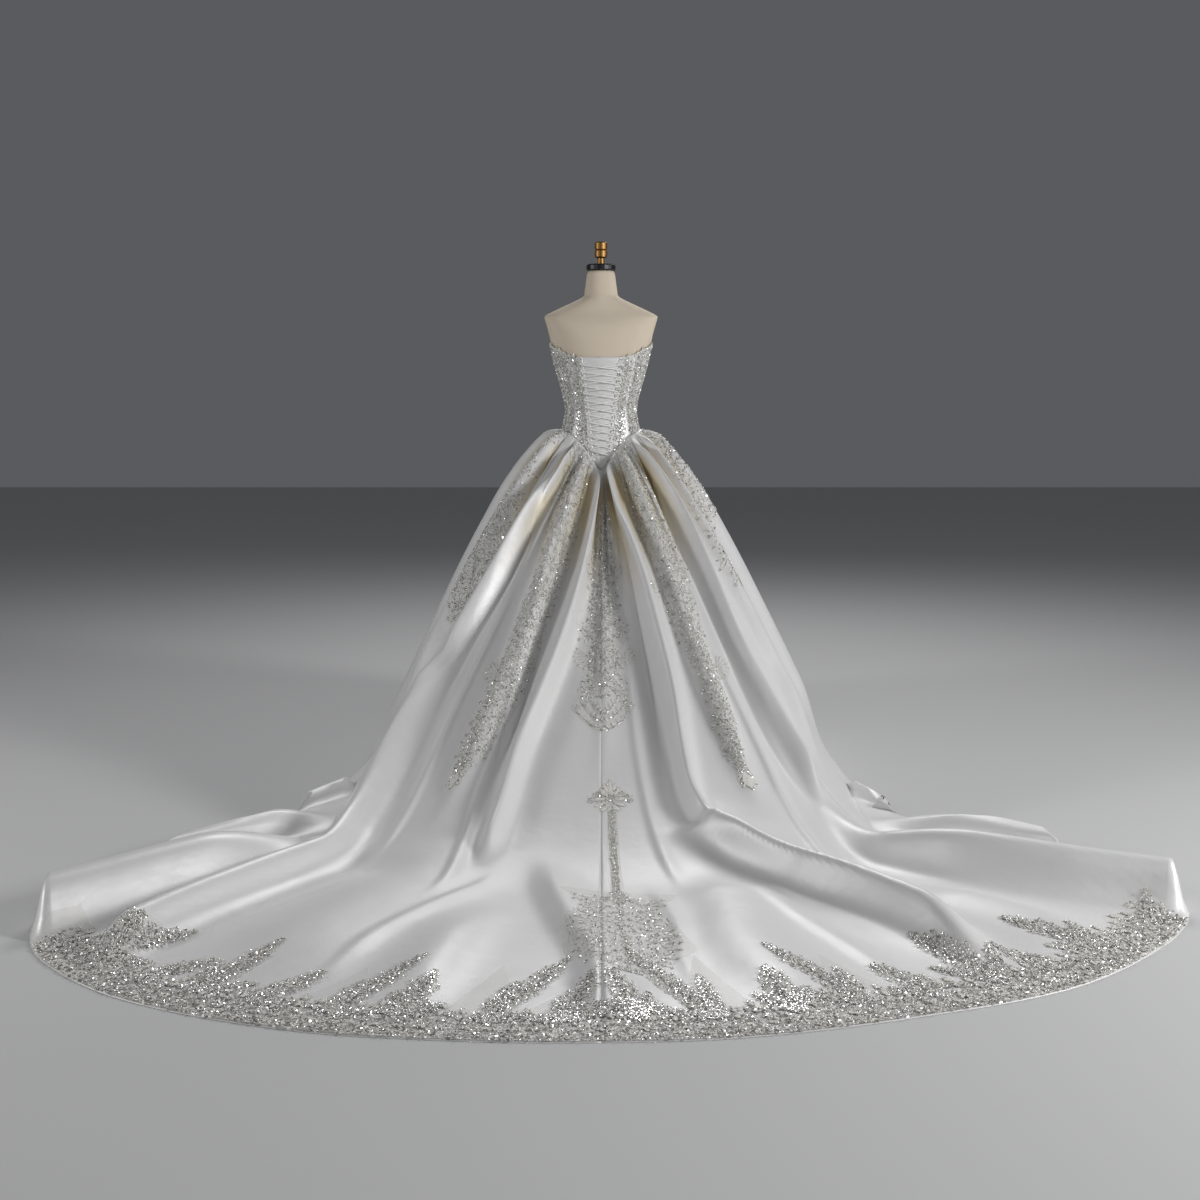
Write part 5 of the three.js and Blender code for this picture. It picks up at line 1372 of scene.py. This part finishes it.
class GOWN_OT_skirt_lace(bpy.types.Operator):
    """Lays the beaded lace bands on the skirt and the motif down the train"""

    bl_idname = "gown.skirt_lace"
    bl_label = "Skirt Lace"

    def execute(self, context):
        for seed, (name, rows) in enumerate(BANDS.items(), 3):
            net, size = net_panel(f"net_{name}", rows, f"applique_{name}")
            place = BandPlace(rows)
            drawing = Drawing()
            centre = name == "centre_back"
            first = CENTRE_START if centre else 0.0
            last = place.length - (CHEVRON_END if centre else BAND_END)
            garland(drawing, last, place.swell, seed, first)
            widest = float(np.max(place.half(place.along)))
            sow(drawing, within(place.swell, 0.95), (-widest, first, widest, last), 11, seed)
            if centre:
                chevron_end(drawing, place.length)
            else:
                band_end(drawing, place.length)
            scatter = Scatter()
            lay_lace(scatter, drawing, SKIRT_MAP, place, seed, scale=BAND_SCALE)
            for angle, reach, turn in FANS.get(name, ()):
                fan = Drawing()
                fan.fan(0, 0, 62, 9, 0.42)
                lay_lace(scatter, fan, SKIRT_MAP, SpotPlace(angle, reach, turn), seed + 10)
            beading = scatter.build(f"beading_{name}", lace_finishes())
            cut_piece(net, size)
        self.train_motif()
        return {"FINISHED"}

    def train_motif(self):
        """The motif down the train: a cross, a chain and a medallion, all joined in one beading."""
        net, size = net_panel("net_train_centre", TRAIN_CENTRE, "applique_train_centre")
        scatter = Scatter()
        lay_lace(scatter, self.cross(), SKIRT_MAP, SpotPlace(*CROSS_PLACE), 21)
        chain = BandPlace(CHAIN)
        lay_lace(scatter, self.chain(chain.length), SKIRT_MAP, chain, 22)
        medallion = BandPlace(TRAIN_MEDALLION)
        drawing = Drawing()
        garland(drawing, medallion.length, medallion.half, 31)
        widest = float(np.max(medallion.half(medallion.along)))
        sow(drawing, within(medallion.half, 0.9), (-widest, 0, widest, medallion.length), 9, 32)
        lay_lace(scatter, drawing, SKIRT_MAP, medallion, 23)
        beading = scatter.build("beading_train_centre", lace_finishes())
        cut_piece(net, size)

    def cross(self):
        cross = Drawing()
        cross.flower(0, 0, 14, 6)
        for k in range(-2, 3):
            cross.leaf(6 * k, 6, 66 - 15 * abs(k), 15, 0.25 - 0.03 * k)
        for side in (-1, 1):
            for k in range(3):
                cross.leaf(side * 6, -2 - 14 * k, 50 - 9 * k, 15, 0.25 - side * (0.27 + 0.06 * k))
            cross.scroll(side * 34, 12, 13, side, 1.6, 0.5)
            cross.scroll(side * 52, -14, 11, side, 1.5, 0.3)
            cross.stone(side * 60, 4, 4)
        sow(cross, lambda p: np.abs(p[:, 0]) * 0.9 + np.abs(p[:, 1]) < 54, (-60, -60, 60, 60), 10, 24)
        return cross

    def chain(self, length):
        """Three waved lines with small flowers and leaves on them."""
        drawing = Drawing()
        run = np.arange(0, length, 4.0)
        for turn in (0, math.pi, math.pi / 2):
            drawing.line(np.stack([9 * np.sin(run / 7 + turn), run], -1), 1.1)
        for k, y in enumerate(np.arange(6, length, 22.0)):
            drawing.flower(3 * math.sin(1.9 * k), y, 9, 5)
            drawing.leaf(4 * math.sin(2.7 * k), y + 10, 15, 7, 0.25 + 0.1 * math.sin(2.1 * k))
        return drawing


class GOWN_OT_hem_lace(bpy.types.Operator):
    """Lays the beaded border with its sprays along the train's hem"""

    bl_idname = "gown.hem_lace"
    bl_label = "Hem Lace"

    def execute(self, context):
        hem = HemPlace()
        for half, side, start, end in (("left", -1, HEM_LEFT, 0), ("right", 1, 0, HEM_RIGHT)):
            net, size = self.net(half, side)
            scatter = Scatter()
            border = self.border(hem.x_of(start), hem.x_of(end))
            lay_lace(scatter, border, SKIRT_MAP, hem, 42 + side, HEM_LIFT, HEM_SCALE)
            for k, tip in enumerate(HEM_TIPS[half]):
                angle = side * HEM_COLUMNS[half] * (2 * k + 1)
                lean = side * (0.5 + 0.35 * math.sin(2.3 * k))
                if abs(angle) < SPRAYS_END:
                    self.spray(scatter, angle, tip, 50 + 9 * side + k, lean)
            beading = scatter.build(f"beading_hem_{half}", lace_finishes())
            cut_piece(net, size)
        return {"FINISHED"}

    def net(self, half, side):
        """The sheer ground of one half of the border, whose upper edge rises to each spray's tip."""
        tips = HEM_TIPS[half]
        mesh, column, row = grid_of(HEM_NET_STEPS * len(tips) * 2, HEM_NET_ROWS)
        angle = HEM_COLUMNS[half] * column / HEM_NET_STEPS
        edge = [HEM_DIP, *[reach for tip in tips for reach in (tip, HEM_DIP)]]
        top = np.interp(column / HEM_NET_STEPS, np.arange(len(edge)), edge)
        reach = top + (HEM_NET_EDGE - top) * row / HEM_NET_ROWS
        at, outward = SKIRT_MAP.read(side * angle, reach)
        shape_grid(mesh, at + outward * NET_LIFT)
        if side < 0:
            mesh.flip_normals()
        piece = add_piece(f"net_hem_{half}", mesh, [net_finish()], [f"applique_hem_{half}"])
        return piece, sheet_size(mesh, column, row, along_edge=True)

    def border(self, x0, x1):
        """Repeats of flowers, scrolls and leaves between x0 and x1, with waved lines through them."""
        border = Drawing()
        count = int((x1 - x0) / HEM_REPEAT)
        for k in range(count):
            x = x0 + (k + 0.5) * (x1 - x0) / count
            lift = 14 * math.sin(k * 1.9)
            border.flower(x, 30, 15, 5, 0.3 * k)
            border.scroll(x - 14, 66 + lift * 0.4, 15, -1, 1.5, 0.75)
            border.scroll(x + 14, 82 + lift * 0.4, 13, 1, 1.4, 0.6)
            border.leaf(x - 21, 46, 26, 11, 0.2)
            border.leaf(x + 8, 52, 24, 10, 0.1)
            border.leaf(x, 96 + lift, 30, 12, 0.25)
            border.flower(x + 20, 108 + lift, 13, 5, 0.2 * k)
            border.scroll(x - 16, 118 + lift, 12, -1, 1.4, 0.7)
            border.leaf(x + 4, 128 + lift, 30, 12, 0.3)
            border.leaf(x - 21, 14, 18, 9, 0.3)
        run = np.arange(x0, x1, 5.0)
        for y, wave in ((5, 0), (11, 1), (42, 5), (76, 7)):
            border.line(np.stack([run, y + wave * np.sin(run / 14)], -1), 1.1)
        sow(border, lambda p: p[:, 1] < HEM_DEPTH - 26 + 22 * np.sin(p[:, 0] / 37), (x0, 3, x1, HEM_DEPTH),
            10.5, 41)
        return border

    def spray(self, scatter, angle, tip, seed, lean):
        """A slender spray that leans to one side and is widest in its middle, with two short side sprays."""
        length = (SPRAY_FOOT - tip) * SpotPlace(angle, SPRAY_FOOT).per_reach + 60
        stems = (
            (length, 36.0, lean * 0.6),
            (length * 0.55, 24.0, lean + 0.5),
            (length * 0.5, 22.0, lean - 0.7),
        )
        for long, half, turn in stems:

            def width(y, long=long, half=half):
                t = np.clip(y / long, 0, 1)
                swell = 0.35 + 1.5 * t * (1 - t) + 0.28 * np.abs(np.sin(9 * t + seed))
                return half * swell * (1 - t**6) + 3

            drawing = Drawing()
            garland(drawing, long, width, seed)
            sow(drawing, within(width, 0.9), (-half, 0, half, long), 12, seed)
            place = SpotPlace(angle, SPRAY_FOOT, turn)
            lay_lace(scatter, drawing, SKIRT_MAP, place, seed, HEM_LIFT, HEM_SCALE)


class GOWN_OT_bodice(bpy.types.Operator):
    """Builds the bodice's eight panels"""

    bl_idname = "gown.bodice"
    bl_label = "Bodice"

    def execute(self, context):
        rows = list(range(BODICE_ROWS + 1))
        thickness = gown_settings().bodice_cloth
        for (node, *_), span in zip(BODICE_PANELS, BODICE_SPANS, strict=True):
            name = node.replace("bodice", "boned")
            piece, size = satin_piece(name, BODICE_MAP, span, rows, thickness, node)
            cut_piece(piece, size)
        return {"FINISHED"}


LACE_COLUMNS = (34, 55, 77, 99, 121, 143, 164)  # the middles of the bodice's garlands on each side
FRONT_COLUMN = 180  # the middle of the one garland down the centre front
GARLAND_HALF, LACE_HALF = 9.5, 10.5  # half widths of a garland and of its sequins, in columns
EDGE_HALF = 11  # half width of the scallops above one garland
BODICE_LIFT, BODICE_SCALE = 0.6, 1.15


class GOWN_OT_bodice_lace(bpy.types.Operator):
    """Covers the bodice with beaded lace, with its pointed upper edge"""

    bl_idname = "gown.bodice_lace"
    bl_label = "Bodice Lace"

    def execute(self, context):
        for name, side in (("left", -1), ("right", 1)):
            scatter = Scatter()
            for k, column in enumerate((*LACE_COLUMNS, FRONT_COLUMN) if side > 0 else LACE_COLUMNS):
                place = BodicePlace(side * column)
                drawing = Drawing()
                garland(drawing, place.length - 4, lambda y, place=place: place.half(y, GARLAND_HALF), k, 6.0)
                widest = float(place.half(0, EDGE_HALF))
                sow(drawing, within(lambda y, place=place: place.half(y, LACE_HALF)),
                    (-widest, 3, widest, place.length - 2), 9, 60 + k)
                self.crown(drawing, widest, 0.6 if column == LACE_COLUMNS[0] else 1.0)
                lay_lace(scatter, drawing, EDGE_MAP, place, 70 + k, BODICE_LIFT, BODICE_SCALE)
            scatter.build(f"beading_bodice_{name}", lace_finishes())
        return {"FINISHED"}

    def crown(self, drawing, wide, tall):
        """The scallops that stand above the bodice's edge over one garland."""
        for k in (-0.66, 0, 0.66):
            high = (17 if k == 0 else 11) * tall
            drawing.leaf(k * wide, 3, high, 8, 0.75)
            drawing.leaf(k * wide - 4, 3, high * 0.75, 6, 0.69)
            drawing.leaf(k * wide + 4, 3, high * 0.75, 6, 0.81)
            drawing.stone(k * wide, 3 - high, 4.5)
        run = np.arange(-wide, wide, 3.0)
        drawing.line(np.stack([run, np.full(len(run), 2.0)], -1), 1.0)
        drawing.line(np.stack([run, 7 + 1.5 * np.sin(run / 3)], -1), 0.9)


# The lacing in millimetres: its crossings' first and last height, how far the cords lie above the panel
# and over each other, how high each turn is and how far it reaches past the opening's edge.
LACING = {"rows": 14, "top": 1306, "bottom": 1004, "lift": 2.4, "over": 3.6, "turn": 2.6, "reach_out": 7}
# Radii of the loops and of the cords that bind the opening's edges and the neckline, in metres.
LOOP_RADIUS, OPENING_BINDING, NECKLINE_BINDING = 0.0011, 0.0013, 0.0014
BINDING_STEPS, NECKLINE_STEPS = 60, 200
OPENING_LINES = (1.4, 4.4)  # how many columns outside the opening's edge its two bindings run


def lacing_point(x, z, over):
    angle = math.degrees(math.asin(x / float(body_section(z, 1))))
    return body_point(angle, z, -LACING["lift"] - over)


class GOWN_OT_lacing(bpy.types.Operator):
    """Laces the back opening with two cords through loops, and binds its edges"""

    bl_idname = "gown.lacing"
    bl_label = "Lacing"

    def execute(self, context):
        self.cords_and_loops(plain_finish("lacing_cord", (0.9, 0.9, 0.88), roughness=0.5))
        self.bindings()
        return {"FINISHED"}

    def cords_and_loops(self, white):
        rows, top, bottom = LACING["rows"], LACING["top"], LACING["bottom"]
        step = (bottom - top) / (rows - 1)
        loops = []
        for name, start in (("first", 1), ("second", -1)):
            route = []
            for row in range(rows):
                z = top + step * row
                side = start * (1 if row % 2 == 0 else -1)
                end = side * (float(opening_half(z)) + LACING["reach_out"])
                route += [lacing_point(end, z + turn * LACING["turn"], 0) for turn in (1, -1)]
                if row < rows - 1:
                    route.append(lacing_point(0, z + step / 2, LACING["over"] if start < 0 else 0))
                loops.append(self.loop(side, z))
            mesh = cords_mesh(f"cord_{name}", [smooth_path(route)], gown_settings().cord_radius)
            add_piece(f"cord_{name}", mesh, [white], [f"lacing_cord_{name}"])
        mesh = cords_mesh("lacing_loops", loops, LOOP_RADIUS, 1)
        add_piece("lacing_loops", mesh, [white])

    def bindings(self):
        """The cords sewn in along the opening's edges and round the neckline."""
        shares = np.linspace(0.004, 0.985, BINDING_STEPS)
        lines = []
        for out in OPENING_LINES:
            for column in (-OPENING_ANGLE - out, OPENING_ANGLE + out):
                at, outward = BODICE_MAP.read(np.full(BINDING_STEPS, column), shares)
                lines.append(at + outward * 0.2)
        mesh = cords_mesh("opening_binding", lines, OPENING_BINDING)
        add_piece("opening_binding", mesh, [satin()])
        columns = np.linspace(-TURN / 2, TURN / 2, NECKLINE_STEPS)
        edge, outward = EDGE_MAP.read(columns, np.zeros(NECKLINE_STEPS))
        mesh = cords_mesh("neckline_binding", [edge - outward * 1.1], NECKLINE_BINDING)
        add_piece("neckline_binding", mesh, [satin()])

    def loop(self, side, z):
        """A small loop of cord that stands out from the opening's edge round one turn of the lacing."""
        half = float(opening_half(z))
        path = []
        for t in np.linspace(0, 1, 9):
            x = side * (half + 10 - 13 * math.sin(math.pi * t))
            path.append(lacing_point(x, z + 3.2 * math.cos(math.pi * t), -1.6 + 1.4 * math.sin(math.pi * t)))
        return np.array(path)


# The studio: each lamp's name, place, the point it faces, size in metres and power in watts.
LAMPS = [
    ("key_light", (4.4, -2.9, 2.3), (0, -0.9, 0.4), 1.1, 130),
    ("side_light", (-4.7, -2.3, 2.1), (0, -0.9, 0.4), 0.9, 58),
    ("back_light", (0.4, 2.8, 4.0), (0, -1.0, 0.2), 1.6, 62),
    ("front_light", (0.8, -5.6, 3.4), (0, -0.6, 0.9), 1.4, 22),
]
STUDIO_AIR = (0.11, 0.112, 0.118, 1)
FLOOR_HALF = 14
# The camera stands behind the gown and looks a little down: lens in millimetres, pitch in degrees.
CAMERA = {"place": (0, -5.5, 1.25), "pitch": 7.6, "lens": 49.2, "sensor": 36, "shift": -1 / 1200}


class GOWN_OT_stage(bpy.types.Operator):
    """Sets the floor, the light and the camera"""

    bl_idname = "gown.stage"
    bl_label = "Studio"

    def execute(self, context):
        scene = context.scene
        scene.view_settings.view_transform = "Standard"
        scene.view_settings.look = "Medium High Contrast"
        world = bpy.data.worlds.new("studio")
        world.use_nodes = True
        world.node_tree.nodes["Background"].inputs["Color"].default_value = STUDIO_AIR
        scene.world = world
        self.floor(scene)
        [self.lamp(scene, *lamp) for lamp in LAMPS]
        self.camera(scene)
        return {"FINISHED"}

    def floor(self, scene):
        shape = bmesh.new()
        bmesh.ops.create_grid(shape, x_segments=1, y_segments=1, size=FLOOR_HALF)
        mesh = bpy.data.meshes.new("studio_floor")
        shape.to_mesh(mesh)
        shape.free()
        floor = bpy.data.objects.new("studio_floor", mesh)
        scene.collection.objects.link(floor)
        mesh.materials.append(plain_finish("studio_floor", (0.6, 0.6, 0.6), roughness=0.85))
        return floor

    def lamp(self, scene, name, place, target, size, power):
        light = bpy.data.lights.new(name, "AREA")
        light.size = size
        light.energy = power
        lamp = bpy.data.objects.new(name, light)
        lamp.location = place
        lamp.rotation_mode = "QUATERNION"
        lamp.rotation_quaternion = (Vector(target) - Vector(place)).to_track_quat("-Z", "Y")
        scene.collection.objects.link(lamp)
        return lamp

    def camera(self, scene):
        lens = bpy.data.cameras.new("camera")
        lens.sensor_width = CAMERA["sensor"]
        lens.lens = CAMERA["lens"]
        lens.shift_x = CAMERA["shift"]
        camera = bpy.data.objects.new("camera", lens)
        camera.location = CAMERA["place"]
        camera.rotation_euler = (math.radians(90 - CAMERA["pitch"]), 0, 0)
        scene.collection.objects.link(camera)
        scene.camera = camera


OPERATORS = (
    GOWN_OT_form, GOWN_OT_bodice, GOWN_OT_skirt, GOWN_OT_lacing, GOWN_OT_bodice_lace,
    GOWN_OT_skirt_lace, GOWN_OT_hem_lace, GOWN_OT_stage,
)


class GOWN_PT_parts(bpy.types.Panel):
    bl_label = "Gown"
    bl_idname = "GOWN_PT_parts"
    bl_space_type = "VIEW_3D"
    bl_region_type = "UI"
    bl_category = "Gown"

    def draw(self, context):
        own = context.scene.gown
        for name in GownSettings.__annotations__:
            self.layout.prop(own, name)
        for operator in OPERATORS:
            self.layout.operator(operator.bl_idname)


CLASSES = (GownSettings, *OPERATORS, GOWN_PT_parts)


def register():
    for one in CLASSES:
        bpy.utils.register_class(one)
    bpy.types.Scene.gown = bpy.props.PointerProperty(type=GownSettings)


def unregister():
    del bpy.types.Scene.gown
    for one in reversed(CLASSES):
        bpy.utils.unregister_class(one)


def main():
    register()
    for operator in OPERATORS:
        group, action = operator.bl_idname.split(".")
        getattr(getattr(bpy.ops, group), action)()


if __name__ == "__main__":
    main()
